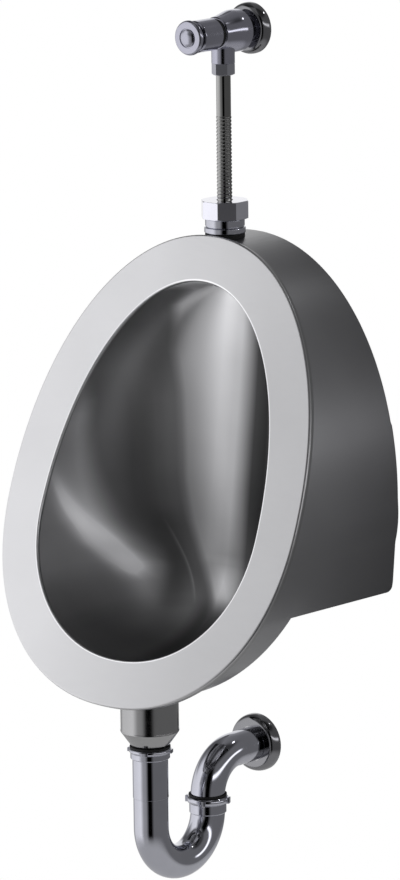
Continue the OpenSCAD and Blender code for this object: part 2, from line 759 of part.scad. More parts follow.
module strainer_screw() {
    head_r = 2 * strainer_screw_r;
    head_z = ledge_z + seat_gap + strainer_dome_h + sheet_t + seat_gap;
    color([0.8, 0.8, 0.82])
        translate([0, -drain_y, 0])
            difference() {
                union() {
                    translate([0, 0, head_z])
                        cylinder(r1 = head_r, r2 = strainer_screw_r, h = strainer_screw_r);
                    translate([0, 0, ledge_z - ledge_w])
                        cylinder(r = strainer_screw_r, h = head_z - ledge_z + ledge_w);
                }
                translate([-head_r - cut_over, -strainer_screw_r / 4, head_z + strainer_screw_r / 2])
                    cube([2 * (head_r + cut_over), strainer_screw_r / 2, strainer_screw_r + cut_over]);
            }
}

// A slip nut: a bead at its top, a waist under it, four lugs and a shelf inside, its foot at zero
module slip_nut(h, shelf, bead, waist_r, r_top, r_low) {
    rotate_extrude()
        polygon(concat(
            [[r_low, 0], [waist_r - lug_rise / 2, 0], [waist_r, lug_rise / 2], [waist_r, h - 2 * bead]],
            arc([slip_r - bead, h - bead], bead, -60, 90, 8),
            [[r_top, h], [r_top, shelf], [r_low, shelf]]));
    for (i = [0:3])
        rotate([0, 0, lug_a + 90 * i])
            translate([slip_r - bead, -lug_w / 2, h - 2 * bead])
                cube([bead + lug_rise, lug_w, 2 * bead - lug_rise / 2]);
}

module trap_inlet_washer() {
    color([0.05, 0.05, 0.05])
        translate([0, -drain_y, nut_in_top_z + seat_gap / 2])
            ring(slip_r - slip_washer_t / 2, spigot_r + slip_gap, slip_washer_t);
}

module trap_inlet_nut() {
    color([0.7, 0.7, 0.73])
        translate([0, -drain_y, nut_in_foot_z])
            slip_nut(slip_in_h, sleeve_top_z - sleeve_flange_t - seat_gap - nut_in_foot_z, slip_in_bead,
                spigot_r + sheet_t, spigot_r + slip_gap, sleeve_r + slip_gap);
}

module trap_inlet_sleeve() {
    color([0.7, 0.7, 0.73])
        translate([0, -drain_y, 0])
            rotate_extrude()
                polygon([[sleeve_r - trap_wall, sleeve_foot_z], [sleeve_r, sleeve_foot_z],
                    [sleeve_r, sleeve_top_z - sleeve_flange_t], [spigot_r, sleeve_top_z - sleeve_flange_t],
                    [spigot_r, sleeve_top_z], [sleeve_r - trap_wall, sleeve_top_z]]);
}

module trap_j_bend() {
    color([0.65, 0.65, 0.69])
        translate([0, -drain_y, 0]) {
            translate([0, 0, bend_z])
                ring(trap_r, trap_in_r, sleeve_foot_z - seat_gap - bend_z);
            translate([0, bend_r, bend_z])
                rotate([0, 90, 0])
                    rotate([0, 0, -90])
                        bent_tube(bend_r, trap_r, trap_in_r, 180);
            translate([0, 2 * bend_r, bend_z])
                ring(trap_r, trap_in_r, joint_z - seat_gap - bend_z);
        }
}

module trap_outlet_washer() {
    color([0.05, 0.05, 0.05])
        translate([0, -riser_y, nut_out_top_z + seat_gap])
            ring(slip_r - slip_washer_t, trap_r + bent_gap, slip_washer_t);
}

module trap_outlet_nut() {
    color([0.7, 0.7, 0.73])
        translate([0, -riser_y, nut_out_foot_z])
            slip_nut(slip_out_h, slip_out_h / 2, slip_out_bead, trap_r + sheet_t, trap_r + 2 * slip_gap,
                trap_r + bent_gap);
}

module trap_wall_arm() {
    color([0.65, 0.65, 0.69]) {
        translate([0, -riser_y, joint_z])
            ring(trap_r, trap_in_r, arm_foot_z - joint_z);
        translate([0, arm_r - riser_y, arm_foot_z])
            rotate([0, 90, 0])
                rotate([0, 0, 180])
                    bent_tube(arm_r, trap_r, trap_in_r, 90);
        off_wall(outlet_z)
            wall_tube(trap_r, trap_in_r, arm_stub, riser_y - arm_r);
    }
}

// A wall flange: a domed shell with an inner collar, its rim on the wall
module wall_flange(r_out, r_in, depth) {
    lip = depth / 5;
    crown = (r_out - r_in) / 2;
    collar_r = r_in + slip_gap;
    steps = 10;
    rotate_extrude()
        polygon(concat(
            [[r_out - sheet_t, 0], [r_out, 0], [r_out, lip]],
            [for (i = [1:steps]) let (a = 90 * i / steps)
                [r_out - crown + crown * cos(a), lip + (depth - lip) * sin(a)]],
            [[collar_r, depth], [collar_r, depth - sheet_t]],
            [for (i = [steps:-1:1]) let (a = 90 * i / steps)
                [r_out - crown + (crown - sheet_t) * cos(a), lip + (depth - lip - sheet_t) * sin(a)]]));
}

module trap_wall_flange() {
    color([0.6, 0.6, 0.62])
        off_wall(outlet_z)
            wall_flange(trap_flange_r, trap_r, trap_flange_depth);
}

// Ribbed stretch of the flush tube: each rib is a rise and a fall
module flush_tube() {
    pipe_r = pipe_d / 2;
    rib_top_z = rib_foot_z + rib_count * rib_pitch;
    color([0.6, 0.6, 0.64])
        translate([0, -pipe_y, 0])
            rotate_extrude()
                polygon(concat(
                    [[pipe_r - pipe_wall, pipe_foot_z], [pipe_r, pipe_foot_z]],
                    [for (i = [0:rib_count - 1]) each [
                        [pipe_r - rib_rise, rib_foot_z + i * rib_pitch],
                        [pipe_r + rib_rise, rib_foot_z + (i + rib_shares[0]) * rib_pitch],
                        [pipe_r + rib_rise, rib_foot_z + (i + rib_shares[1]) * rib_pitch]]],
                    [[pipe_r, rib_top_z], [pipe_r, pipe_top_z], [pipe_r - pipe_wall, pipe_top_z],
                     [pipe_r - pipe_wall, rib_top_z]],
                    [for (i = [rib_count - 1:-1:0]) each [
                        [pipe_r + rib_rise - pipe_wall, rib_foot_z + (i + rib_shares[1]) * rib_pitch],
                        [pipe_r + rib_rise - pipe_wall, rib_foot_z + (i + rib_shares[0]) * rib_pitch],
                        [pipe_r - rib_rise - pipe_wall, rib_foot_z + i * rib_pitch]]]));
}

module coupling_washer() {
    color([0.05, 0.05, 0.05])
        translate([0, -pipe_y, coupling_z + coupling_h / 2])
            ring(coupling_thread_r, pipe_d / 2 + slip_gap, coupling_h / 2 - coupling_top_t - seat_gap);
}

// A nut's blank with the given number of sides, its corners turned off at foot and head
module nut_blank(r, h, sides, low, high) {
    intersection() {
        rotate([0, 0, 180 / sides])
            cylinder(r = r, h = h, $fn = sides);
        rotate_extrude()
            polygon([[0, 0], [r - low, 0], [r + low, low], [r + low, h - high], [r + low - 2 * high, h],
                [0, h]]);
    }
}

module coupling_nut() {
    color([0.72, 0.72, 0.75])
        translate([0, -pipe_y, coupling_z])
            difference() {
                nut_blank(coupling_r, coupling_h, 8, sheet_t, sheet_t);
                translate([0, 0, -cut_over])
                    cylinder(r = coupling_bore_r, h = coupling_h - coupling_top_t + cut_over);
                cylinder(r = pipe_d / 2 + rib_rise + slip_gap, h = coupling_h + cut_over);
            }
}

module inlet_spud() {
    thread_top = spud_h + coupling_h / 2 - seat_gap;
    socket_r = spreader_r + run_gap;
    waist_r = spud_r - spud_groove;
    groove_r = waist_r - spud_groove;
    color([0.68, 0.68, 0.71])
        translate([0, -pipe_y, spud_z])
            rotate_extrude()
                polygon([[spud_bore_r, spud_socket - spud_tail], [spud_bore_r, thread_top],
                    [coupling_thread_r, thread_top], [coupling_thread_r, spud_h - seat_gap],
                    [groove_r, spud_h - seat_gap], [waist_r, spud_h - spud_groove],
                    [waist_r, coupling_collar_h], [groove_r, coupling_collar_h],
                    [groove_r, coupling_collar_h - spud_groove],
                    [spud_r, coupling_collar_h - 2 * spud_groove], [spud_r, spud_groove], [waist_r, 0],
                    [spud_thread_r, 0], [spud_thread_r, -spud_tail], [socket_r, -spud_tail],
                    [socket_r, spud_socket - spud_tail]]);
}

// Gasket, cut straight where it meets the rim's rolled edge
module spud_gasket() {
    gasket_r = spud_r - spud_groove;
    roll_y = on_plane(rim_point(90, 0), rim_roll)[1] + slip_gap;
    color([0.04, 0.04, 0.04])
        translate([0, 0, spud_z - gasket_t])
            difference() {
                translate([0, -pipe_y, 0])
                    ring(gasket_r, spud_hole_r, gasket_t - seat_gap / 2);
                translate([-gasket_r, roll_y - gasket_r, -cut_over])
                    cube([2 * gasket_r, gasket_r, gasket_t + 2 * cut_over]);
            }
}

module spud_locknut() {
    color([0.72, 0.62, 0.38])
        translate([0, -pipe_y, skirt_top_z - sheet_t - locknut_sag - locknut_h])
            difference() {
                cylinder(r = locknut_r, h = locknut_h, $fn = 6);
                translate([0, 0, -cut_over])
                    cylinder(r = spud_thread_r + run_gap, h = locknut_h + 2 * cut_over);
            }
}

// Spreader: a tube that screws into the spud and a slotted head under the bowl's roof
module flush_spreader() {
    bore_r = spreader_r - 2 * sheet_t;
    stem_top = spreader_top_z - spreader_head_z;
    color([0.7, 0.7, 0.72])
        translate([0, -pipe_y, spreader_head_z])
            difference() {
                rotate_extrude()
                    polygon([[0, 0], [spreader_head_r - spreader_edge, 0], [spreader_head_r, spreader_edge],
                        [spreader_head_r, spreader_head_h], [spreader_r, spreader_head_h],
                        [spreader_r, stem_top], [bore_r, stem_top], [bore_r, spreader_floor],
                        [0, spreader_floor]]);
                for (i = [0:spreader_slots - 1])
                    rotate([0, 0, 180 * (i + 0.5) / spreader_slots])
                        translate([bore_r - cut_over, -spreader_slot_w / 2, spreader_floor])
                            cube([spreader_head_r, spreader_slot_w, spreader_head_h / 2]);
            }
}

module valve_wall_flange() {
    color([0.6, 0.6, 0.63])
        off_wall(valve_z)
            wall_flange(valve_flange_r, hub_r, valve_flange_depth);
}

// A tube along the axis square to the wall, from -stub to end, with a relief groove at the wall
module wall_tube(r_out, r_in, stub, end) {
    rotate_extrude()
        polygon([[r_in, -stub], [r_out, -stub], [r_out, 0], [r_out - wall_groove_d, 0],
            [r_out - wall_groove_d, wall_groove_w], [r_out, wall_groove_w], [r_out, end], [r_in, end]]);
}

module supply_nipple() {
    color([0.62, 0.62, 0.65])
        off_wall(valve_z)
            wall_tube(supply_r, supply_r - 2 * sheet_t, supply_stub, barrel_back - nipple_end_gap);
}

module valve_body() {
    edge = hub_edge;
    socket_back = barrel_back - socket_l;
    socket_r = supply_r + run_gap;
    color([0.55, 0.55, 0.59])
        off_wall(valve_z)
            difference() {
                union() {
                    rotate_extrude()
                        polygon([[0, socket_back], [hub_r - edge, socket_back], [hub_r, socket_back + edge],
                            [hub_r, barrel_back], [barrel_r - edge, barrel_back],
                            [barrel_r, barrel_back + edge], [barrel_r, barrel_front],
                            [neck_back_r, neck_start], [neck_front_r, neck_front - edge],
                            [neck_front_r - edge, neck_front], [0, neck_front]]);
                    translate([0, 0, pipe_y])
                        rotate([90, 0, 0])
                            cylinder(r = branch_r, h = branch_l);
                    translate([0, 0, pipe_y])
                        rotate([90, 0, 0])
                            cylinder(r = stub_r, h = stub_l);
                }
                // Supply socket, inlet chamber, seat, outlet chamber and thread for the bonnet
                translate([0, 0, socket_back - cut_over])
                    cylinder(r = socket_r, h = socket_l + cut_over);
                cylinder(r = inlet_r, h = seat_s);
                cylinder(r = seat_r, h = chamber_front);
                translate([0, 0, seat_s + seat_t])
                    cylinder(r = chamber_r, h = neck_front);
                translate([0, 0, chamber_front])
                    cylinder(r = thread_front_r, h = neck_front);
                // Outlet
                translate([0, 0, pipe_y])
                    rotate([90, 0, 0])
                        cylinder(r = outlet_bore_r, h = stub_l + cut_over);
                translate([0, 0, pipe_y])
                    rotate([90, 0, 0])
                        translate([0, 0, branch_l - tube_socket])
                            cylinder(r = pipe_d / 2 + slip_gap, h = stub_l);
                // Hole for the flow screw
                translate([0, 0, flow_screw_s])
                    rotate([0, 90, flow_screw_a])
                        cylinder(r = flow_screw_r + run_gap, h = barrel_r + cut_over);
            }
}

module flow_screw() {
    head_s = barrel_r - flow_screw_sunk;
    color([0.8, 0.8, 0.83])
        off_wall(valve_z)
            translate([0, 0, flow_screw_s])
                rotate([0, 90, flow_screw_a])
                    difference() {
                        translate([0, 0, head_s - flow_screw_l])
                            cylinder(r = flow_screw_r, h = flow_screw_l);
                        translate([-flow_slot_w / 2, -flow_screw_r - cut_over, head_s - flow_slot_d])
                            cube([flow_slot_w, 2 * (flow_screw_r + cut_over), flow_slot_d + cut_over]);
                    }
}

module bonnet() {
    edge = hub_edge;
    waist_r = thread_front_r - slip_gap;
    thread_back = chamber_front + bonnet_tail;
    color([0.55, 0.55, 0.59])
        off_wall(valve_z)
            difference() {
                rotate_extrude()
                    polygon([[0, thread_back], [waist_r, thread_back], [waist_r, bonnet_back],
                        [bonnet_r - edge, bonnet_back], [bonnet_r, bonnet_back + edge],
                        [bonnet_r, bonnet_front - edge], [bonnet_r - edge, bonnet_front], [0, bonnet_front]]);
                // Spring chamber
                translate([0, 0, bonnet_floor])
                    cylinder(r = bonnet_r - bonnet_wall, h = bonnet_front);
                // Guide for the stem, and its ring's groove
                cylinder(r = stem_r + run_gap, h = bonnet_front);
                translate([0, 0, chamber_front])
                    cylinder(r = o_ring_r, h = 2 * bonnet_tail + o_ring_t);
            }
}

module bonnet_seal() {
    color([0.04, 0.04, 0.04])
        off_wall(valve_z)
            translate([0, 0, neck_front + seat_gap])
                ring(bonnet_r - sheet_t, thread_front_r, bonnet_gap - 2 * seat_gap);
}

module stem_o_ring() {
    color([0.04, 0.04, 0.04])
        off_wall(valve_z)
            translate([0, 0, chamber_front + 2 * bonnet_tail - seat_gap])
                ring(o_ring_r - seat_gap / 2, stem_r + run_gap, o_ring_t);
}

module plunger_stem() {
    color([0.75, 0.75, 0.77])
        off_wall(valve_z)
            translate([0, 0, seat_s - seat_gap - poppet_seal_t])
                cylinder(r = stem_r, h = button_front - dome_groove - seat_s + poppet_seal_t);
}

module poppet() {
    color([0.72, 0.62, 0.38])
        off_wall(valve_z)
            translate([0, 0, seat_s - 2 * seat_gap - poppet_seal_t - poppet_t])
                cylinder(r = poppet_r, h = poppet_t);
}

module poppet_seal() {
    color([0.05, 0.05, 0.05])
        off_wall(valve_z)
            translate([0, 0, seat_s - seat_gap - poppet_seal_t])
                ring(poppet_r, stem_r + seat_gap / 2, poppet_seal_t);
}

// Return spring: one unbroken coil between the bonnet's floor and the dashpot cup
spring_foot = bonnet_floor + seat_gap + spring_wire_r;
spring_head = boss_back - 2 * seat_gap - dashpot_t - spring_wire_r;
spring_steps = 16;
spring_sides = 6;
function spring_centre(i) =
    let (a = 360 * i / spring_steps)
    [spring_coil_r * cos(a), spring_coil_r * sin(a),
     spring_foot + (spring_head - spring_foot) * i / (spring_turns * spring_steps)];
function spring_point(i, k) =
    let (a = 360 * i / spring_steps, b = 360 * k / spring_sides)
    spring_centre(i) + spring_wire_r * [cos(a) * cos(b), sin(a) * cos(b), sin(b)];

module return_spring() {
    last = spring_turns * spring_steps;
    points = [for (i = [0:last]) for (k = [0:spring_sides - 1]) spring_point(i, k)];
    sides = [for (i = [0:last - 1]) for (k = [0:spring_sides - 1])
        let (n = (k + 1) % spring_sides)
        [i * spring_sides + k, (i + 1) * spring_sides + k, (i + 1) * spring_sides + n, i * spring_sides + n]];
    foot = [for (k = [0:spring_sides - 1]) k];
    head = [for (k = [spring_sides - 1:-1:0]) last * spring_sides + k];
    echo(least_gap_between_turns = (spring_head - spring_foot) / spring_turns - 2 * spring_wire_r);
    color([0.7, 0.7, 0.72])
        off_wall(valve_z)
            polyhedron(points, concat(sides, [foot, head]));
}

module dashpot_cup() {
    color([0.06, 0.06, 0.06])
        off_wall(valve_z)
            translate([0, 0, boss_back - seat_gap - dashpot_t])
                ring(bonnet_r - bonnet_wall - run_gap, stem_r + seat_gap / 2, dashpot_t);
}

module push_button() {
    edge = button_t / 3;
    hole_r = stem_r + seat_gap / 2;
    web_back = button_front - dome_groove - boss_web;
    color([0.72, 0.72, 0.76])
        off_wall(valve_z)
            rotate_extrude()
                polygon(concat(
                    [[hole_r, web_back], [boss_r - boss_wall, web_back], [boss_r - boss_wall, boss_back],
                     [boss_r, boss_back], [boss_r, button_back], [button_r - edge / 2, button_back],
                     [button_r, button_back + edge / 2]],
                    arc([button_r - edge, button_front - edge], edge, 0, 90, 6),
                    [[dome_r + dome_groove, button_front], [dome_r + dome_groove, button_front - dome_groove],
                     [hole_r, button_front - dome_groove]]));
}

module button_dome() {
    foot = button_front - dome_groove + seat_gap / 2;
    ball_r = dome_r * dome_r / (2 * dome_h) + dome_h / 2;
    color([0.75, 0.75, 0.8])
        off_wall(valve_z)
            rotate_extrude()
                polygon(concat([[0, foot], [dome_r, foot], [dome_r, button_front]],
                    [for (i = [11:-1:0]) let (r = dome_r * i / 12)
                        [r, button_front + sqrt(ball_r * ball_r - r * r) - ball_r + dome_h]]));
}

module outlet_nut() {
    color([0.66, 0.66, 0.7])
        translate([0, -pipe_y, outlet_nut_z])
            difference() {
                nut_blank(branch_r, outlet_nut_h - seat_gap, 6, 2 * sheet_t, sheet_t / 2);
                translate([0, 0, -cut_over])
                    cylinder(r = pipe_d / 2 + slip_gap, h = outlet_nut_h);
                translate([0, 0, olive_foot])
                    cylinder(r = stub_r + run_gap, h = outlet_nut_h);
            }
}

module outlet_olive() {
    color([0.72, 0.62, 0.38])
        translate([0, -pipe_y, outlet_nut_z + olive_foot + seat_gap / 2])
            ring(stub_r - seat_gap, pipe_d / 2 + run_gap, olive_h);
}

rim_frame();
bowl();
side_skirt();
hanger_rail();
wall_bracket();
fixing_tabs();
drain_cup();
drain_strainer();
strainer_screw();
trap_inlet_washer();
trap_inlet_nut();
trap_inlet_sleeve();
trap_j_bend();
trap_outlet_washer();
trap_outlet_nut();
trap_wall_arm();
trap_wall_flange();
flush_tube();
coupling_washer();
coupling_nut();
inlet_spud();
spud_gasket();
spud_locknut();
flush_spreader();
valve_wall_flange();
supply_nipple();
valve_body();
flow_screw();
bonnet();
bonnet_seal();
stem_o_ring();
plunger_stem();
poppet();
poppet_seal();
return_spring();
dashpot_cup();
push_button();
button_dome();
outlet_nut();
outlet_olive();
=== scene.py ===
# %% [markdown]
# # A wall hung urinal of pressed steel
# The real object is a steel basin with a flat leaning rim, hung on a wall bracket.
# A push valve feeds it from above through a thin tube, and a chromed trap drains it.
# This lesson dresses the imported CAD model: it loads the model as a fixed frame,
# sets the camera as the photographer had it, and then makes one finish or piece at a time.

import json
import math

import bmesh
import bpy
from mathutils import Matrix, Vector


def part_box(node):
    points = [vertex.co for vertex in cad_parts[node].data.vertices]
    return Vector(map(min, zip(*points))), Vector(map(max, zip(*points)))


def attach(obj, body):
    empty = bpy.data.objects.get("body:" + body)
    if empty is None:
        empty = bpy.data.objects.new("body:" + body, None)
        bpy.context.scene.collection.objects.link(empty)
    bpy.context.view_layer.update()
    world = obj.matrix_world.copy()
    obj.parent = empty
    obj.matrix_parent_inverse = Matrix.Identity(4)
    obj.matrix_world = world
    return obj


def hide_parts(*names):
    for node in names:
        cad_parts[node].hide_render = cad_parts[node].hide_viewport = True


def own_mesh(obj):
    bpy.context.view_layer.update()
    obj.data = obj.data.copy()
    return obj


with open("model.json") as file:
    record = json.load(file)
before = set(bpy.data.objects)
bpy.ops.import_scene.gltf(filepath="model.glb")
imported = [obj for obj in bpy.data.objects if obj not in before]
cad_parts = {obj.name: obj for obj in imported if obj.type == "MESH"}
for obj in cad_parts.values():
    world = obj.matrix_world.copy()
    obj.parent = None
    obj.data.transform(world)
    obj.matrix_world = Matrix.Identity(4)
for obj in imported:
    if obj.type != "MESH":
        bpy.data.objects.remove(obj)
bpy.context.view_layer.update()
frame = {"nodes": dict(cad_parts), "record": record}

# %% [markdown]
# ## Camera
# The photograph was taken from the right and a little above, with a long lens.
# Its turn, height and roll were measured from the rim's outline and the two wall flanges.
# The camera is placed by its own axes, so that no tracking constraint is needed.

# %% Camera
IMAGE_W, IMAGE_H, SENSOR = 400, 880, 36
VIEW_TURN = 0.698146
VIEW_RISE = 0.204020
VIEW_ROLL = -0.012159
VIEW_DISTANCE = 5.999
PIXELS_PER_METRE = 905.49
AIM_RIGHT = -0.06064
AIM_UP = 0.24351
HANG_HEIGHT = 0.4


def linked(name, data):
    thing = bpy.data.objects.new(name, data)
    bpy.context.collection.objects.link(thing)
    return thing


def place_camera():
    turn, rise = VIEW_TURN, VIEW_RISE
    right = Vector((math.cos(turn), math.sin(turn), 0))
    up = Vector((-math.sin(turn) * math.sin(rise), math.cos(turn) * math.sin(rise), math.cos(rise)))
    back = right.cross(up)
    rolled_right = right * math.cos(VIEW_ROLL) + up * math.sin(VIEW_ROLL)
    rolled_up = up * math.cos(VIEW_ROLL) - right * math.sin(VIEW_ROLL)
    camera = linked("camera", bpy.data.cameras.new("camera"))
    camera.matrix_world = Matrix((rolled_right, rolled_up, back)).transposed().to_4x4()
    camera.location = right * AIM_RIGHT + up * AIM_UP + back * VIEW_DISTANCE - Vector((0, 0, HANG_HEIGHT))
    camera.data.sensor_width = SENSOR
    camera.data.lens = PIXELS_PER_METRE * VIEW_DISTANCE / max(IMAGE_W, IMAGE_H) * SENSOR
    camera.data.clip_end = 50
    bpy.context.scene.camera = camera
    return camera


camera = place_camera()
print("lens:", round(camera.data.lens, 1), "mm")

# %% [markdown]
# ## Shader graphs
# The studio and the finishes are both built from shader nodes.
# A small class adds one node at a time and returns its output, so that a pattern
# reads like a sum: a noise, a spread of its values, a ramp of greys.

# %% Shader graph helper
WHITE = (1.0, 1.0, 1.0, 1.0)


def grey(value):
    return (value, value, value, 1.0)


class Graph:
    def __init__(self, tree):
        self.nodes, self.links = tree.nodes, tree.links

    def feed(self, socket, value):
        if isinstance(value, bpy.types.NodeSocket):
            self.links.new(value, socket)
        else:
            socket.default_value = value

    def source(self, kind, output):
        return self.nodes.new(kind).outputs[output]

    def math(self, operation, first, second=0.0):
        node = self.nodes.new("ShaderNodeMath")
        node.operation = operation
        self.feed(node.inputs[0], first)
        self.feed(node.inputs[1], second)
        return node.outputs["Value"]

    def mul(self, first, second):
        return self.math("MULTIPLY", first, second)

    def add(self, first, second):
        return self.math("ADD", first, second)

    def sub(self, first, second):
        return self.math("SUBTRACT", first, second)

    def soft(self, value, start, end, low=0, high=1):
        return self.spread(value, start, end, low, high, smooth=True)

    def here(self):
        """Place on the piece itself, so that a pattern stays fixed to it."""
        return self.source("ShaderNodeTexCoord", "Object")

    def at(self, name):
        return self.axis(self.here(), name)

    def along(self, direction):
        return self.vector("DOT_PRODUCT", self.here(), direction)

    def mixed(self, share, first, second):
        node = self.nodes.new("ShaderNodeMixShader")
        for socket, value in zip(node.inputs, (share, first, second)):
            self.feed(socket, value)
        return node.outputs["Shader"]

    def seen(self):
        """The light path, and one where the camera looks straight or through something clear."""
        path = self.nodes.new("ShaderNodeLightPath").outputs
        return path, self.math("MAXIMUM", path["Is Camera Ray"], path["Is Transmission Ray"])

    def spread(self, value, start, end, low, high, smooth=False):
        node = self.nodes.new("ShaderNodeMapRange")
        node.interpolation_type = "SMOOTHSTEP" if smooth else "LINEAR"
        self.feed(node.inputs["Value"], value)
        for name, number in (("From Min", start), ("From Max", end), ("To Min", low), ("To Max", high)):
            self.feed(node.inputs[name], number)
        return node.outputs["Result"]

    def ramp(self, value, stops):
        node = self.nodes.new("ShaderNodeValToRGB")
        elements = node.color_ramp.elements
        while len(elements) > 1:
            elements.remove(elements[-1])
        elements[0].position, elements[0].color = stops[0]
        for position, colour in stops[1:]:
            elements.new(position).color = colour
        self.feed(node.inputs["Fac"], value)
        return node.outputs["Color"]

    def fade(self, value, stops):
        """A grey that follows a length, given as (length, grey) stops."""
        first, last = stops[0][0], stops[-1][0]
        share = self.spread(value, first, last, 0, 1)
        return self.ramp(share, [((at - first) / (last - first), grey(level)) for at, level in stops])

    def vector(self, operation, first, second=(0.0, 0.0, 0.0)):
        node = self.nodes.new("ShaderNodeVectorMath")
        node.operation = operation
        self.feed(node.inputs[0], first)
        self.feed(node.inputs[1], second)
        return node.outputs["Value" if operation in ("DOT_PRODUCT", "LENGTH") else "Vector"]

    def product(self, first, second):
        return self.vector("MULTIPLY", first, second)

    def place(self, source, scale, turn=(0.0, 0.0, 0.0)):
        node = self.nodes.new("ShaderNodeMapping")
        node.inputs["Scale"].default_value = scale
        node.inputs["Rotation"].default_value = turn
        self.feed(node.inputs["Vector"], self.source("ShaderNodeTexCoord", source))
        return node.outputs["Vector"]

    def axis(self, vector, name):
        node = self.nodes.new("ShaderNodeSeparateXYZ")
        self.feed(node.inputs["Vector"], vector)
        return node.outputs[name]

    def noise(self, vector, detail=3.0):
        node = self.nodes.new("ShaderNodeTexNoise")
        node.inputs["Scale"].default_value = 1.0
        node.inputs["Detail"].default_value = detail
        self.feed(node.inputs["Vector"], vector)
        return node.outputs["Fac"]


bpy.context.scene.view_settings.view_transform = "Standard"
print("graph helper ready")

# %% [markdown]
# ## Studio
# Polished metal looks like what stands around it, so the studio matters more than the lamps.
# The photograph's reflections suggest a wide bright side to the left of the camera, a
# black gap at the camera, a dim right side, darkness overhead and a long thin light at the right.
# The world holds these by turn and rise, in a few plain steps. It is a pattern by direction and
# not real cards, because it hides nothing in other views. Right behind the object the metal
# sees the white background, and the camera sees white everywhere.

# %% Studio
# Turn from the camera in degrees, and the brightness of the studio near the horizon: grey
# behind, one wide white panel at the left, a black gap at the camera, a dim right side
HORIZON = (
    (-180, 0.4), (-150, 0.4), (-130, 1.0), (-70, 1.2), (-50, 0.5), (-30, 0.4), (-15, 0.0), (5, 0.0),
    (20, 0.2), (150, 0.2), (180, 0.4))
OVERHEAD = (
    (-180, 0.26), (-150, 0.10), (-110, 0.05), (-90, 0.05), (-60, 0.30), (-20, 0.30), (0, 0.08), (90, 0.05),
    (125, 0.20), (180, 0.26))
# Share of the horizon's light that is left higher up, by turn
DARK_BAND = (
    (-180, 0.4), (-130, 0.3), (-105, 1), (-72, 1), (-60, 0.4), (6, 0.4), (20, 0.8), (30, 1), (180, 1))
UNDERFOOT = 0.45
# Rises in degrees between which one zone gives way to the next
OVERHEAD_RISES, UNDERFOOT_RISES, BAND_RISES, BEHIND_RISES = (36, 50), (-34, -52), (6, 16), (30, 22)
BEHIND_SHARES = (0.44, 0.48)
STRIP_TURNS = (20, 92)
STRIP_RISES = (20, 6)
STRIP_HALF = 7.0
STRIP_LEVEL = 2.2
STRIP_END = 0.01
STUDIO_TINT = (0.98, 0.98, 1.0, 1.0)


def by_turn(graph, turn, levels):
    return graph.ramp(turn, [(0.5 + angle / 360, grey(level)) for angle, level in levels])


def studio_level(graph):
    direction = graph.place("Generated", (1, 1, 1), turn=(0, 0, math.pi / 2 - VIEW_TURN))
    gradient = graph.nodes.new("ShaderNodeTexGradient")
    gradient.gradient_type = "RADIAL"
    graph.feed(gradient.inputs["Vector"], direction)
    turn = gradient.outputs["Fac"]
    rise = graph.math("DEGREES", graph.math("ARCSINE", graph.axis(direction, "Z")))
    up, down = graph.soft(rise, *OVERHEAD_RISES), graph.soft(rise, *UNDERFOOT_RISES)
    raised = graph.soft(rise, *BAND_RISES)
    shut = graph.sub(1.0, graph.mul(raised, graph.sub(1.0, by_turn(graph, turn, DARK_BAND))))
    horizon = graph.mul(by_turn(graph, turn, HORIZON), shut)
    level = graph.mul(horizon, graph.sub(graph.sub(1.0, up), down))
    level = graph.add(level, graph.mul(by_turn(graph, turn, OVERHEAD), up))
    level = graph.add(level, graph.mul(down, UNDERFOOT))
    start, end = (0.5 + angle / 360 for angle in STRIP_TURNS)
    middle = graph.spread(turn, start, end, *STRIP_RISES)
    distance = graph.math("ABSOLUTE", graph.sub(rise, middle))
    strip = graph.soft(distance, STRIP_HALF, 0, 0, STRIP_LEVEL)
    ends = graph.mul(
        graph.spread(turn, start - STRIP_END, start, 0, 1), graph.spread(turn, end, end + STRIP_END, 1, 0))
    behind = graph.soft(graph.math("ABSOLUTE", graph.sub(turn, 0.5)), *BEHIND_SHARES)
    behind = graph.mul(behind, graph.soft(graph.math("ABSOLUTE", rise), *BEHIND_RISES))
    return graph.add(level, graph.mul(strip, ends)), behind


def background(graph, colour, strength=1.0):
    node = graph.nodes.new("ShaderNodeBackground")
    node.inputs["Color"].default_value = colour
    graph.feed(node.inputs["Strength"], strength)
    return node.outputs["Background"]


def make_world():
    world = bpy.data.worlds.new("studio")
    world.use_nodes = True
    bpy.context.scene.world = world
    world.node_tree.nodes.clear()
    graph = Graph(world.node_tree)
    path, straight = graph.seen()
    level, behind = studio_level(graph)
    white = graph.math("MAXIMUM", straight, graph.mul(path["Is Glossy Ray"], behind))
    studio = background(graph, STUDIO_TINT, level)
    output = graph.nodes.new("ShaderNodeOutputWorld")
    graph.feed(output.inputs["Surface"], graph.mixed(white, studio, background(graph, WHITE)))


def add_lamp(name, place, aim, size, power):
    lamp = linked(name, bpy.data.lights.new(name, "AREA"))
    lamp.data.size = size
    lamp.data.energy = power
    lamp.location = place
    lamp.rotation_euler = (Vector(aim) - Vector(place)).to_track_quat("-Z", "Y").to_euler()


make_world()
add_lamp("spark", (0.9, 1.5, 2.1), (0, -0.1, 0.2), 0.12, 1.6)
print("studio made")

# %% [markdown]
# ## Floor
# The basin hangs well over the floor, so the floor is far below the picture.
# It is a plain pale disc. Seen by the camera it is lifted to white and keeps the soft shadow.
# The metal above sees it pale too. Its outer part fades away, because a sharp edge would be
# mirrored as a hard line in every pipe.

# %% Floor
FLOOR_Z, FLOOR_R = -1.0, 1.3
FLOOR_LIFT, FLOOR_MIRROR, FLOOR_SOLID_R = 0.85, 0.32, 0.55
FLOOR_TONE, FLOOR_ROUGH, FLOOR_MARGIN = 0.82, 0.8, 0.02


def mesh_from(bm, name):
    mesh = bpy.data.meshes.new(name)
    bm.to_mesh(mesh)
    bm.free()
    return mesh


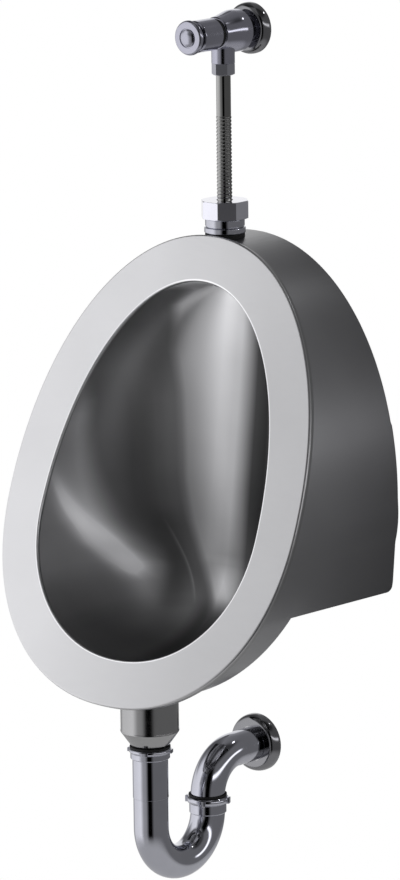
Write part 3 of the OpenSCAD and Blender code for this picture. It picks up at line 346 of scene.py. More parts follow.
def make_floor():
    bm = bmesh.new()
    bmesh.ops.create_circle(
        bm, cap_ends=True, segments=96, radius=FLOOR_R, matrix=Matrix.Translation((0, 0, FLOOR_Z)))
    floor = linked("floor", mesh_from(bm, "floor"))
    material = bpy.data.materials.new("pale_floor")
    material.use_nodes = True
    graph = Graph(material.node_tree)
    paint = graph.nodes["Principled BSDF"]
    paint.inputs["Base Color"].default_value = grey(FLOOR_TONE)
    paint.inputs["Roughness"].default_value = FLOOR_ROUGH
    path, straight = graph.seen()
    lift = graph.mul(straight, FLOOR_LIFT)
    glow = graph.nodes.new("ShaderNodeEmission")
    graph.feed(glow.inputs["Strength"], graph.add(lift, graph.mul(path["Is Glossy Ray"], FLOOR_MIRROR)))
    lit = graph.nodes.new("ShaderNodeAddShader")
    graph.feed(lit.inputs[0], paint.outputs["BSDF"])
    graph.feed(lit.inputs[1], glow.outputs["Emission"])
    reach = graph.vector("LENGTH", graph.product(graph.here(), (1.0, 1.0, 0.0)))
    fading = graph.soft(reach, FLOOR_SOLID_R, FLOOR_R - FLOOR_MARGIN)
    clear = graph.source("ShaderNodeBsdfTransparent", "BSDF")
    output = graph.nodes["Material Output"]
    graph.feed(output.inputs["Surface"], graph.mixed(fading, lit.outputs["Shader"], clear))
    floor.data.materials.append(material)


make_floor()
print("floor at", FLOOR_Z, "m")

# %% [markdown]
# ## Finishes
# Every surface here is metal or rubber. Each finish starts from one principled shader.
# A stretched noise draws the lines that brushing or polishing leaves, and drives
# roughness and a very shallow bump, while a wide soft noise clouds the colour.
# Where the photograph shows a sheet fading along its length, a slow ramp follows that axis.
# These ramps copy what one picture shows: they are painted shade and painted reflection, fixed
# to the metal.

# %% Helpers for finishes
class Finish(Graph):
    """A material whose nodes are added one step at a time."""

    def __init__(self, name, metallic=1.0, specular=0.5):
        self.material = bpy.data.materials.new(name)
        self.material.use_nodes = True
        super().__init__(self.material.node_tree)
        self.shader = self.nodes["Principled BSDF"]
        self.shader.inputs["Metallic"].default_value = metallic
        self.shader.inputs["Specular IOR Level"].default_value = specular

    def colour(self, output):
        self.feed(self.shader.inputs["Base Color"], output)

    def roughness(self, output):
        self.feed(self.shader.inputs["Roughness"], output)

    def bump(self, height, strength, distance, normal=None):
        bump = self.nodes.new("ShaderNodeBump")
        if normal is not None:
            self.feed(bump.inputs["Normal"], normal)
        bump.inputs["Strength"].default_value = strength
        bump.inputs["Distance"].default_value = distance
        self.feed(bump.inputs["Height"], height)
        self.feed(self.shader.inputs["Normal"], bump.outputs["Normal"])


def scaled(tone, factor):
    return tuple(min(value * factor, 1.0) for value in tone) + (1.0,)


def brushed(name, tone, rough, lines, cloud=0.06, depth=0.00002, source="Object", clouds=(6, 6, 6),
            shade=None, lean=None, coarse=None, vary=1.0):
    """Brushed steel: lines is the noise scale along each axis, small along the brushing."""
    finish = Finish(name)
    wide = finish.noise(finish.place("Object", clouds), detail=2.0)
    tint = finish.ramp(wide, ((0.35, scaled(tone, 1 - cloud)), (0.65, scaled(tone, 1 + cloud))))
    finish.colour(finish.product(tint, shade(finish)) if shade else tint)
    scratch = finish.noise(finish.place(source, lines), detail=4.0)
    rubbed = finish.spread(scratch, 0.35, 0.65, rough - 0.04 * vary, rough + 0.05 * vary)
    finish.roughness(finish.add(rubbed, coarse(finish)) if coarse else rubbed)
    finish.bump(scratch, 0.35, depth, normal=lean(finish) if lean else None)
    return finish.material


def polished(name, tone, rough=0.05, shade=None):
    """Chrome plate: nearly a mirror, with a faint orange peel and finger haze."""
    finish = Finish(name)
    haze = finish.noise(finish.place("Object", (40, 40, 40)), detail=4.0)
    finish.roughness(finish.spread(haze, 0.35, 0.65, rough, rough + 0.05))
    tint = finish.ramp(haze, ((0.3, scaled(tone, 0.94)), (0.7, scaled(tone, 1.0))))
    finish.colour(finish.product(tint, shade(finish)) if shade else tint)
    peel = finish.noise(finish.place("Object", (150, 150, 150)), detail=1.0)
    finish.bump(peel, 0.05, 0.0001)
    return finish.material


def moulded_rubber(name):
    finish = Finish(name, metallic=0.0, specular=0.4)
    grain = finish.noise(finish.place("Object", (900, 900, 900)))
    finish.colour(finish.ramp(grain, ((0.3, grey(0.006)), (0.7, (0.02, 0.02, 0.021, 1.0)))))
    finish.roughness(finish.spread(grain, 0.35, 0.65, 0.55, 0.8))
    finish.bump(grain, 0.3, 0.0001)
    return finish.material


# %% Finishes of the part
def skirt_painted_shade(finish):
    """Painted shade: the sheet is a little darker towards the wall and towards the foot."""
    along = finish.fade(finish.at("Y"), ((-0.24, 1.25), (-0.12, 1.0), (0.0, 0.66)))
    down = finish.fade(finish.at("Z"), (
        (-0.38, 0.6), (-0.29, 0.64), (-0.2, 0.82), (-0.12, 1.02), (0.05, 1.05)))
    return finish.product(along, down)


def tube_painted_shade(finish):
    """Painted light and shade: the tube is brighter on its left and darker on its right side, as in the
    photograph.
    """
    return finish.fade(finish.at("X"), ((-0.009, 1.35), (-0.002, 1.1), (0.001, 0.7), (0.009, 0.62)))


STEEL = (0.60, 0.60, 0.605)
FINISHES = {name: brushed(name, *values) for name, *values in (
    ("satin_steel", STEEL, 0.34, (60, 1500, 1500), 0.03),
    ("brushed_steel_pot", (0.42, 0.42, 0.42), 0.16, (12, 12, 3000)),
    ("zinc_steel", (0.55, 0.56, 0.57), 0.42, (12, 300, 300), 0.12),
    ("spring_steel", (0.50, 0.50, 0.52), 0.30, (900, 900, 900)),
    ("brass_raw", (0.68, 0.53, 0.28), 0.35, (20, 20, 900), 0.1))}
FINISHES["brushed_steel_dark"] = brushed(
    "brushed_steel_dark", (0.37, 0.37, 0.38), 0.32, (2400, 30, 2400), shade=skirt_painted_shade)
FINISHES["black_rubber"] = moulded_rubber("black_rubber")
FINISHES |= {name: polished(name, *values) for name, *values in (
    ("chrome_bright", (0.54, 0.545, 0.60)),
    ("chrome_valve", (0.44, 0.44, 0.51), 0.10),
    # The tube's chrome carries painted light and shade across it
    ("tube_chrome", (0.40, 0.40, 0.39), 0.05, tube_painted_shade),
    # Painted shade: a darker copy of the chrome for both wall flanges
    ("flange_chrome", (0.26, 0.26, 0.27), 0.09),
    # Painted light: a brighter copy of the chrome for the coupling nut
    ("nut_chrome", (0.80, 0.80, 0.87)),
    ("button_chrome", (0.46, 0.46, 0.53), 0.20))}
slot_of = {entry["node"]: entry["material_slot"] for entry in frame["record"]["subparts"]}
print("finishes:", sorted(FINISHES))

# %% [markdown]
# ## Copies of the CAD nodes
# The small inner pieces are right as the CAD has them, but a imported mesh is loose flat
# triangles. Each one gets a copy whose doubled points are merged and whose square edges
# carry a thin chamfer, as a broken edge does. The CAD node itself is never touched: the
# copy replaces it in the picture.

# %% Copies of the CAD nodes
MERGE = 0.00002
FLAT = math.radians(0.6)
SHARP = math.radians(20)
SQUARE = math.radians(42)


def finish_object(bm, name, material, body, slot, nodes=(), sharp=SHARP):
    for face in bm.faces:
        face.smooth = True
    for edge in bm.edges:
        edge.smooth = edge.is_manifold and edge.calc_face_angle(0) <= sharp
    piece = linked(name, mesh_from(bm, name))
    piece.data.materials.clear()
    piece.data.materials.append(material)
    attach(piece, body)
    if nodes:
        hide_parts(*nodes)
    return piece


def extruded(bm, edges):
    """New vertices of the extruded edges, and the edges between them."""
    made = bmesh.ops.extrude_edge_only(bm, edges=edges)["geom"]
    fresh = [item for item in made if isinstance(item, bmesh.types.BMVert)]
    kept = set(fresh)
    edges = [item for item in made if isinstance(item, bmesh.types.BMEdge)]
    return fresh, [edge for edge in edges if set(edge.verts) <= kept]


def outward(bm):
    bmesh.ops.recalc_face_normals(bm, faces=bm.faces)


def chamfered_copy(node, body, edge=0.00025):
    bm = bmesh.new()
    bm.from_mesh(frame["nodes"][node].data)
    bmesh.ops.remove_doubles(bm, verts=bm.verts, dist=MERGE)
    bmesh.ops.dissolve_limit(bm, angle_limit=FLAT, verts=bm.verts, edges=bm.edges, delimit=set())
    square = [e for e in bm.edges if len(e.link_faces) == 2 and e.calc_face_angle(0) > SQUARE]
    bmesh.ops.bevel(
        bm, geom=square, offset=edge, offset_type="OFFSET", affect="EDGES", segments=1, profile=0.5,
        material=-1, clamp_overlap=True)
    outward(bm)
    slot = slot_of[node]
    # The coupling nut takes the brighter copy of the chrome, which is painted light
    finish = FINISHES["nut_chrome" if node == "coupling_nut" else slot]
    return finish_object(bm, node + "_finished", finish, body, slot, nodes=(node,))


MODELLED_HERE = {
    "rim_frame", "bowl", "side_skirt", "drain_cup", "trap_inlet_nut", "trap_inlet_sleeve", "trap_j_bend",
    "trap_outlet_nut", "trap_wall_arm", "trap_wall_flange", "flush_tube", "inlet_spud", "valve_wall_flange",
    "valve_body", "bonnet", "push_button", "button_dome"}
body_of = {node: body for body, members in frame["record"]["behaviour"]["bodies"].items() for node in members}
for node, body in body_of.items():
    if node not in MODELLED_HERE:
        chamfered_copy(node, body)
print("copies made:", len(body_of) - len(MODELLED_HERE))

# %% [markdown]
# ## The spring's own mesh
# In the valve its foot stays on the bonnet's floor while its head follows the cup under the
# button, so it loses the button's stroke from its length. Here its copy only gets a mesh of its own.

# %% The spring's own mesh
spring = bpy.data.objects["return_spring_finished"]
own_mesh(spring)

# %% [markdown]
# ## Turned pieces
# Valve, cup, nuts and flanges are turned on a lathe, so they are made the same way here:
# a closed profile of radius and station is spun once round its axis.
# Each corner of the profile is rounded first, and gets a short straight beside the round,
# so that the shading of the long faces stays true and the reflections run straight.

# %% Turning helpers
MM = 0.001
TURN_STEPS = 128
ROUND_REACH = 0.22
ROUND_SHARES = (0, 0.25, 0.5, 0.75, 1)
WALL_AXIS = Matrix.Rotation(math.pi / 2, 4, "X")
UP_AXIS = Matrix.Identity(4)
CORNER = math.radians(24)


def arc(centre, radius, start, end, steps=12):
    angles = [math.radians(start + (end - start) * i / steps) for i in range(steps + 1)]
    return [(centre[0] + radius * math.cos(a), centre[1] + radius * math.sin(a)) for a in angles]


def softened(profile, radius):
    """Rounds each square corner of a closed profile, given in millimetres."""
    points = [Vector(point) for point in profile]
    result = []
    for i, corner in enumerate(points):
        before, after = points[i - 1] - corner, points[(i + 1) % len(points)] - corner
        short = min(before.length, after.length)
        if corner.x < 0.01 or short < 0.05 or before.angle(-after) < CORNER:
            result.append(corner)
            continue
        reach = min(radius, short * ROUND_REACH)
        u, v = before.normalized() * reach, after.normalized() * reach
        result += [corner + u * 2]
        result += [corner + u * (1 - t) ** 2 + v * t ** 2 for t in ROUND_SHARES] + [corner + v * 2]
    return result


def spin_profile(bm, profile, matrix):
    verts = [bm.verts.new((r * MM, 0, s * MM)) for r, s in profile]
    edges = [bm.edges.new(pair) for pair in zip(verts, verts[1:] + verts[:1])]
    before = set(bm.verts) - set(verts)
    bmesh.ops.spin(
        bm, geom=verts + edges, axis=(0, 0, 1), cent=(0, 0, 0), steps=TURN_STEPS, angle=math.tau,
        use_merge=True)
    bmesh.ops.transform(bm, matrix=matrix, verts=[v for v in bm.verts if v not in before])


def finish_turned(bm, node, finish=None, sharp=SHARP):
    bmesh.ops.remove_doubles(bm, verts=bm.verts, dist=0.000002)
    outward(bm)
    slot = slot_of[node]
    material = FINISHES[finish or slot]
    return finish_object(bm, node + "_turned", material, body_of[node], slot, nodes=(node,), sharp=sharp)


def turned(node, profile, place, axis, radius=0.35, finish=None):
    bm = bmesh.new()
    spin_profile(bm, softened(profile, radius), Matrix.Translation(place) @ axis)
    return finish_turned(bm, node, finish)


print("turning helpers ready")

# %% [markdown]
# ## Push valve
# The valve lies square to the wall: a flange, a barrel with a branch below it, a bonnet
# behind a black seal, and a button with a raised centre. The branch is spun apart and runs
# on into the barrel. The bore of the small side screw isn't drawn, so the screw cuts through
# the barrel's wall here, where the CAD has a bore.

# %% Push valve
VALVE_Z = 0.302
VALVE = Vector((0, 0, VALVE_Z))
PIPE_Y = 0.048
CROWN_STEPS = 16


def flange_profile(outer, inner, depth, sheet=1.5):
    """A domed wall flange: rim on the wall, crown, and collar round the pipe."""
    lip, crown, collar = depth / 5, (outer - inner) / 2, inner + 0.25
    centre = outer - crown

    def crown_line(less):
        wide, high = crown - less, depth - lip - less
        angles = [math.radians(90 * i / CROWN_STEPS) for i in range(CROWN_STEPS + 1)]
        return [(centre + wide * math.cos(a), lip + high * math.sin(a)) for a in angles]

    return [(outer - sheet, 0), (outer, 0)] + crown_line(0) + [
        (collar, depth), (collar, depth - sheet)] + crown_line(sheet)[::-1]


turned("valve_wall_flange", flange_profile(28.1, 15, 12), VALVE, WALL_AXIS, finish="flange_chrome")

barrel = [
    (10.54, 9), (13.6, 9), (15, 10.4), (15, 22), (20.5, 22), (22.3, 22.7), (23, 24.5), (23, 32), (22.9, 34),
    (22.6, 36.5), (22.1, 39), (21.4, 42), (20.6, 45.5), (19.6, 50), (18.7, 55), (17.9, 60.1), (16.5, 61.5),
    (14.2, 61.5), (14.2, 50), (11, 50), (11, 36), (5.5, 36), (5.5, 33), (10, 33), (10, 22), (10.54, 22)]
branch = [(6.3, 12), (12.7, 12), (12.7, 33), (9.7, 33), (9.7, 40), (8.2, 40), (8.2, 30), (6.3, 30)]
bm = bmesh.new()
spin_profile(bm, softened(barrel, 0.5), Matrix.Translation(VALVE) @ WALL_AXIS)
spin_profile(
    bm, softened(branch, 0.4), Matrix.Translation((0, -PIPE_Y, VALVE_Z)) @ Matrix.Rotation(math.pi, 4, "X"))
finish_turned(bm, "valve_body")

turned("bonnet", [
    (2.56, 51.5), (13.95, 51.5), (13.95, 66), (16, 66), (17.4, 67.4), (17.4, 95.6), (16, 97), (15.4, 97),
    (15.4, 70), (2.56, 70)], VALVE, WALL_AXIS, radius=0.5)

button = [(2.6, 102.5), (12.4, 102.5), (12.4, 88), (14.9, 88), (14.9, 102.5), (17.97, 102.5), (18.8, 103.3)]
button += arc((15.3, 104.0), 3.5, 0, 70, 10) + [(10.6, 107.5), (10.6, 106.5), (2.6, 106.5)]
turned("push_button", button, VALVE, WALL_AXIS, radius=0.3, finish="button_chrome")

DOME_R, DOME_H, DOME_FOOT, DOME_STEPS = 9.6, 3.0, 107.5, 24
dome = [(0, 106.6), (DOME_R, 106.6)] + [
    (DOME_R * i / DOME_STEPS, DOME_FOOT + DOME_H * (1 - (i / DOME_STEPS) ** 3))
    for i in reversed(range(DOME_STEPS + 1))]
turned("button_dome", dome, VALVE, WALL_AXIS, radius=0.4, finish="button_chrome")
print("valve reaches", DOME_FOOT + DOME_H, "mm from the wall")

# %% [markdown]
# ## Flush line
# The flush tube is smooth at its ends and rolled into ribs between them, so that it can be bent
# a little by hand. The ribs are one profile, drawn rib by rib and spun with the tube.

# %% Flush line
RIBS, RIB_PITCH, RIB_RISE, TUBE_R, TUBE_WALL = 23, 3.9, 0.38, 7.95, 0.8
RIB_FORM = (
    (0, -1), (0.12, -0.5), (0.25, 0.65), (0.36, 0.97), (0.5, 1), (0.64, 0.97), (0.75, 0.65), (0.88, -0.5))
tube_low, tube_high = (corner.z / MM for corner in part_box("flush_tube"))
nut_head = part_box("coupling_nut")[1].z / MM
first_rib = nut_head + RIB_PITCH / 2
last_rib = first_rib + RIBS * RIB_PITCH


def tube_side(radius):
    ribs = [
        (radius + RIB_RISE * rise, first_rib + (i + share) * RIB_PITCH)
        for i in range(RIBS) for share, rise in RIB_FORM]
    return [(radius, tube_low), (radius, first_rib - 1)] + ribs + [(radius, last_rib), (radius, tube_high)]


bm = bmesh.new()
spin_profile(bm, tube_side(TUBE_R) + tube_side(TUBE_R - TUBE_WALL)[::-1], Matrix.Translation((0, -PIPE_Y, 0)))
finish_turned(bm, "flush_tube", "tube_chrome", sharp=math.radians(60))

SPUD_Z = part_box("spud_gasket")[1].z + 0.0001
turned("inlet_spud", [
    (8.45, -22), (8.45, 25.55), (16.4, 25.55), (16.4, 15.8), (20.6, 15.8), (21.6, 15), (21.6, 8), (20.6, 8),
    (20.6, 7), (22.6, 6), (22.6, 1), (21.6, 0), (14, 0), (14, -30), (10.06, -30), (10.06, -22)],
    (0, -PIPE_Y, SPUD_Z), UP_AXIS)
print("ribs from", round(first_rib, 1), "to", round(last_rib, 1), "mm")

# %% [markdown]
# ## Drain cup and trap
# The cup is spun from sheet, with a bead where its wall turns into the cone.
# Nuts are turned and carry four small lugs for a spanner. The bends are a ring of the tube's
# size, pulled straight, swung round the bend's centre and pulled straight again.

# %% Drain cup and trap
DRAIN_Y, RISER_Y = 0.1845, 0.0885
DRAIN, RISER = Vector((0, -DRAIN_Y, 0)), Vector((0, -RISER_Y, 0))
OUTLET_Z = -0.493
TRAP_R, TRAP_WALL = 0.01905, 0.0013
CUP_TOP = -0.377 / MM
SLIP_R, LUG_SIZE, LUGS, LUG_TURN, LUG_EDGE = 23.3, (1.8, 7), 4, 25, 0.0007
TUBE_STEPS = 96

turned("drain_cup", [
    (31.75, CUP_TOP), (31.75, -439.6), (32.05, -440.2), (32.05, -441.2), (31.6, -442.2), (20.4, -458),
    (20.15, -458), (20.15, -468), (16.5, -468), (16.5, -458), (30.25, -440.5), (30.25, -388), (26.25, -385.5),
    (26.25, -384), (30.25, -384), (30.25, CUP_TOP)], DRAIN, UP_AXIS)


def slip_nut(node, place, foot, height, shelf, bead, waist, top_r, low_r):
    lug, width = LUG_SIZE
    profile = [(low_r, 0), (waist - lug / 2, 0), (waist, lug / 2), (waist, height - 2 * bead)]
    profile += arc((SLIP_R - bead, height - bead), bead, -60, 90)
    profile += [(top_r, height), (top_r, shelf), (low_r, shelf)]
    lift = Matrix.Translation((0, 0, foot * MM))
    size = Matrix.Diagonal(((bead + lug) * MM, width * MM, (2 * bead - lug / 2) * MM, 1))
    middle = Vector((SLIP_R - bead + (bead + lug) / 2, 0, height - bead - lug / 4)) * MM
    bm = bmesh.new()
    spin_profile(bm, softened(profile, 0.35), lift)
    for i in range(LUGS):
        turn = Matrix.Rotation(math.radians(LUG_TURN + 360 / LUGS * i), 4, "Z")
        matrix = lift @ (turn @ Matrix.Translation(middle)) @ size
        verts = bmesh.ops.create_cube(bm, size=1, matrix=matrix)["verts"]
        edges = list({e for v in verts for e in v.link_edges})
        bmesh.ops.bevel(
            bm, geom=edges, offset=LUG_EDGE, affect="EDGES", segments=3, profile=0.5, material=-1)
    bmesh.ops.translate(bm, verts=bm.verts, vec=place)
    return finish_turned(bm, node)


slip_nut("trap_inlet_nut", DRAIN, -472.4, 12, 2.7, 2.6, 21.65, 20.4, 19.75)
slip_nut("trap_outlet_nut", RISER, -554, 19, 9.5, 4, 20.55, 19.55, 19.45)

turned("trap_inlet_sleeve", [
    (18.2, -516), (19.5, -516), (19.5, -469.5), (20.15, -469.5), (20.15, -468.2), (18.2, -468.2)],
    DRAIN, UP_AXIS)


def tube_end(bm, place, z):
    bmesh.ops.create_circle(
        bm, segments=TUBE_STEPS, radius=TRAP_R, matrix=Matrix.Translation(place + Vector((0, 0, z))))
    return list(bm.edges)


def pull(bm, edges, length, axis="Z"):
    fresh, edges = extruded(bm, edges)
    bmesh.ops.translate(bm, verts=fresh, vec=(0, length, 0) if axis == "Y" else (0, 0, length))
    return edges


def swing(bm, edges, centre, axis, angle, steps):
    verts = list({v for e in edges for v in e.verts})
    made = bmesh.ops.spin(bm, geom=edges + verts, cent=centre, axis=axis, angle=angle, steps=steps)
    return [item for item in made["geom_last"] if isinstance(item, bmesh.types.BMEdge)]


def finish_tube(bm, node):
    outward(bm)
    bmesh.ops.solidify(bm, geom=bm.faces, thickness=TRAP_WALL)
    return finish_turned(bm, node, sharp=math.radians(40))


BEND_R, ARM_R = 0.048, 0.044
BEND_Z, ARM_FOOT, JOINT_Z, SLEEVE_FOOT = -0.550, -0.537, -0.545, -0.516
GAP, WALL_END = 0.0002, 0.014

bm = bmesh.new()
ring = pull(bm, tube_end(bm, DRAIN, SLEEVE_FOOT - GAP), BEND_Z - SLEEVE_FOOT + GAP)
ring = swing(bm, ring, DRAIN + Vector((0, BEND_R, BEND_Z)), (1, 0, 0), math.pi, 64)
pull(bm, ring, JOINT_Z - GAP - BEND_Z)
finish_tube(bm, "trap_j_bend")

bm = bmesh.new()
ring = pull(bm, tube_end(bm, RISER, JOINT_Z), ARM_FOOT - JOINT_Z)
ring = swing(bm, ring, RISER + Vector((0, ARM_R, ARM_FOOT)), (-1, 0, 0), math.pi / 2, 32)
pull(bm, ring, RISER_Y - ARM_R + WALL_END, axis="Y")
finish_tube(bm, "trap_wall_arm")

trap_flange = flange_profile(32.3, 19.05, 13)
turned("trap_wall_flange", trap_flange, (0, 0, OUTLET_Z), WALL_AXIS, finish="flange_chrome")
print("trap made")

# %% [markdown]
# ## Rim
# The rim is one pressed sheet: a flat ring, rolled back outside and turned in at the opening.
# Both outlines are eggs, drawn by one formula with a wide share and two powers.
# The section is lofted: a circle is placed on the first outline, and its edge is
# extruded and placed again for each point of the section, so the sheet keeps its thickness.

# %% Outlines of rim and opening
RIM_W, RIM_H, RIM_BAND, RIM_REACH = 0.402, 0.520, 0.0516, 0.258
RIM_TILT = math.radians(21.1)
SHEET, RIM_ROLL, RIM_LIP = 0.0015, 0.007, 0.004
RIM_SHAPE = (0.427, 2.18, 2.07)
WELL_SHAPE = (0.366, 2.08, 2.05)
WELL_W, WELL_H = RIM_W - 2 * RIM_BAND, RIM_H - 2 * RIM_BAND
RIM_Z = -HANG_HEIGHT


def egg(width, height, shape, angle):
    share, low_power, top_power = shape
    low = math.sin(angle) < 0
    half = height * (share if low else 1 - share)
    power = 2 / (low_power if low else top_power)
    across = math.copysign(width / 2 * abs(math.cos(angle)) ** power, math.cos(angle))
    return across, share * height + math.copysign(half * abs(math.sin(angle)) ** power, math.sin(angle))


def rim_point(angle, inset):
    x, v = egg(RIM_W - 2 * inset, RIM_H - 2 * inset, RIM_SHAPE, angle)
    return x, v + inset


def well_point(angle, inset):
    x, v = egg(WELL_W - 2 * inset, WELL_H - 2 * inset, WELL_SHAPE, angle)
    return x, v + RIM_BAND + inset


def on_plane(point, depth):
    x, v = point
    return Vector((
        x, -RIM_REACH + v * math.sin(RIM_TILT) + depth * math.cos(RIM_TILT),
        RIM_Z + v * math.cos(RIM_TILT) - depth * math.sin(RIM_TILT)))


def loft(count, stations, closed):
    """A ring of count points, extruded and placed at each station, a function of the angle."""
    bm = bmesh.new()
    turn = bm.verts.layers.float.new("turn")
    ring = bmesh.ops.create_circle(bm, segments=count, radius=1.0)["verts"]
    for vert in ring:
        vert[turn] = math.atan2(vert.co.y, vert.co.x) % math.tau
        vert.co = stations[0](vert[turn])
    first = edges = list(bm.edges)
    for station in stations[1:]:
        fresh, edges = extruded(bm, edges)
        for vert in fresh:
            vert.co = station(vert[turn])
    if closed:
        bmesh.ops.bridge_loops(bm, edges=first + edges)
    return bm


# %% Rim
RIM_STEPS = 240
ROLL_R, LIP_R, LEAST_R, EDGE = 0.0026, 0.0018, 0.0003, 0.0004
ROUND_STEPS = 8
SUPPORT = 0.0008


def section():
    """The rim's section as (outline, inset, depth), once round the sheet."""
    quarter = [math.pi / 2 * i / ROUND_STEPS for i in range(ROUND_STEPS + 1)]
    inner = max(ROLL_R - SHEET, LEAST_R)
    points = [(rim_point, ROLL_R * (1 - math.sin(t)), ROLL_R * (1 - math.cos(t))) for t in quarter]
    points = [(rim_point, ROLL_R + SUPPORT, 0)] + points + [(rim_point, 0, ROLL_R + SUPPORT)]
    points += [(rim_point, 0, RIM_ROLL - EDGE), (rim_point, EDGE, RIM_ROLL), (rim_point, SHEET, RIM_ROLL)]
    quarter.reverse()
    points += [(rim_point, ROLL_R - inner * math.sin(t), ROLL_R - inner * math.cos(t)) for t in quarter]
    points += [(well_point, -LIP_R, SHEET), (well_point, -SHEET, SHEET + LEAST_R)]
    points += [(well_point, -SHEET, RIM_LIP), (well_point, 0, RIM_LIP), (well_point, 0, LIP_R + SUPPORT)]
    points += [(well_point, -LIP_R * (1 - math.sin(t)), LIP_R * (1 - math.cos(t))) for t in quarter]
    return points + [(well_point, -LIP_R - SUPPORT, 0)]


LIP_HIGHLIGHT_GAIN = 0.75


def times(finish, base, mask, gain):
    """The base, made brighter by the gain where the mask is one."""
    return finish.mul(base, finish.add(finish.mul(mask, gain), 1.0))


def rim_painted_light(finish):
    """Painted light and shade: the face fades from left to right, the rolled edge is painted darker, and the
    opening's lip carries a painted highlight.
    """
    across = finish.fade(finish.at("X"), ((-0.2, 1.2), (-0.08, 1.15), (0.1, 0.9), (0.2, 0.84)))
    depth = finish.along((0.0, math.cos(RIM_TILT), -math.sin(RIM_TILT)))
    face = -RIM_REACH * math.cos(RIM_TILT) - RIM_Z * math.sin(RIM_TILT)
    edge = finish.fade(finish.sub(depth, face), ((0.0, 1.0), (0.0016, 1.0), (0.0032, 0.6), (0.007, 0.55)))
    lip = finish.nodes.new("ShaderNodeAttribute")
    lip.attribute_name = "painted_lip_highlight"
    return times(finish, finish.mul(across, edge), lip.outputs["Fac"], LIP_HIGHLIGHT_GAIN)


rim_steel = brushed(
    "rim_steel", STEEL, 0.34, (60, 1500, 1500), cloud=0.03, depth=0.000008, shade=rim_painted_light, vary=0.4)


def make_rim():
    stations = [
        lambda angle, outline=outline, inset=inset, depth=depth: on_plane(outline(angle, inset), depth)
        for outline, inset, depth in section()]
    bm = loft(RIM_STEPS, stations, closed=True)
    # Points of the opening's lip, which carry the painted highlight
    glint_layer = bm.verts.layers.float.new("painted_lip_highlight")
    bm.verts.ensure_lookup_table()
    for row, (outline, inset, depth) in enumerate(section()):
        at_lip = outline is well_point and depth < EDGE and inset > -LIP_R - SUPPORT / 2
        for vert in bm.verts[row * RIM_STEPS:(row + 1) * RIM_STEPS]:
            vert[glint_layer] = 1.0 if at_lip else 0.0
    outward(bm)
    return finish_object(bm, "rim_pressing", rim_steel, "fixture", "satin_steel", nodes=("rim_frame",))


rim = make_rim()
print("rim faces:", len(rim.data.polygons))

# %% [markdown]
# ## Bowl
# The bowl is drawn from one sheet: an upright half round back that turns into a pan at the foot.
# Its middle line, seen from the side, is a roof, a back and a floor joined by arcs.
# From each point of the opening's edge a curve sweeps to that line and on to the other edge.
# A grid is placed on this surface by formula, and then given the sheet's thickness.

# %% Middle line of the bowl
BOWL_BACK_GAP, ROOF_RISE = 0.028, 0.007
ROOF_R, FOOT_R, FRONT_R = 0.015, 0.092, 0.016
FLOOR_H, FLOOR_RISE = 0.021, 0.022
CUP_R, SPREADER_R, SEAT_GAP = 0.03175, 0.010, 0.0002
BOWL_DEPTH = RIM_LIP + SEAT_GAP
BACK_POWER, PAN_POWER, PAN_ANGLE = 2.15, 3.0, math.radians(50)
ARC_STEPS = 24


def rounded(before, corner, after, radius):
    """Points of the arc that rounds a corner of a flat line."""
    u, v = (before - corner).normalized(), (after - corner).normalized()
    half = u.angle(v) / 2
    centre = corner + (u + v).normalized() * radius / math.sin(half)
    start, end = (corner + w * radius / math.tan(half) - centre for w in (u, v))
    sweep = start.angle_signed(end)
    swung = [start.copy() for _ in range(ARC_STEPS + 1)]
    for i, point in enumerate(swung):
        point.rotate(Matrix.Rotation(-sweep * i / ARC_STEPS, 2))
    return [centre + point for point in swung]


def along(points, share):
    lengths = [0.0]
    for a, b in zip(points, points[1:]):
        lengths.append(lengths[-1] + (b - a).length)
    want = min(max(share, 0), 1) * lengths[-1]
    k = max(i for i in range(len(points) - 1) if lengths[i] <= want)
    step = lengths[k + 1] - lengths[k]
    return points[k].lerp(points[k + 1], (want - lengths[k]) / step if step else 0)


top_edge, low_edge = (on_plane(well_point(a, 0), BOWL_DEPTH) for a in (math.pi / 2, -math.pi / 2))
floor_z = RIM_Z + FLOOR_H
corners = [
    Vector((top_edge.y, top_edge.z)), Vector((-BOWL_BACK_GAP, top_edge.z + ROOF_RISE)),
    Vector((-BOWL_BACK_GAP, floor_z + FLOOR_RISE)), Vector((-DRAIN_Y + CUP_R, floor_z)),
    Vector((low_edge.y, floor_z)), Vector((low_edge.y, low_edge.z))]
roof_line = [corners[0]] + rounded(corners[0], corners[1], corners[2], ROOF_R)
floor_line = rounded(corners[1], corners[2], corners[3], FOOT_R) + [corners[3]]
floor_line += rounded(corners[3], corners[4], corners[5], FRONT_R) + [corners[5]]


def well_angle(z):
    v = (z - RIM_Z + BOWL_DEPTH * math.sin(RIM_TILT)) / math.cos(RIM_TILT) - RIM_BAND
    share, low_power, top_power = WELL_SHAPE
    rel = v / WELL_H - share
    if rel < 0:
        return -math.asin((-rel / share) ** (low_power / 2))
    return math.asin((rel / (1 - share)) ** (top_power / 2))


ROOF_ANGLE, FLOOR_ANGLE = well_angle(roof_line[-1].y), well_angle(floor_line[0].y)


def middle(angle):
    if angle > ROOF_ANGLE:
        return along(roof_line, (math.pi / 2 - angle) / (math.pi / 2 - ROOF_ANGLE))
    if angle < FLOOR_ANGLE:
        return along(floor_line, (FLOOR_ANGLE - angle) / (FLOOR_ANGLE + math.pi / 2))
    return Vector((-BOWL_BACK_GAP, on_plane(well_point(angle, 0), BOWL_DEPTH).z))


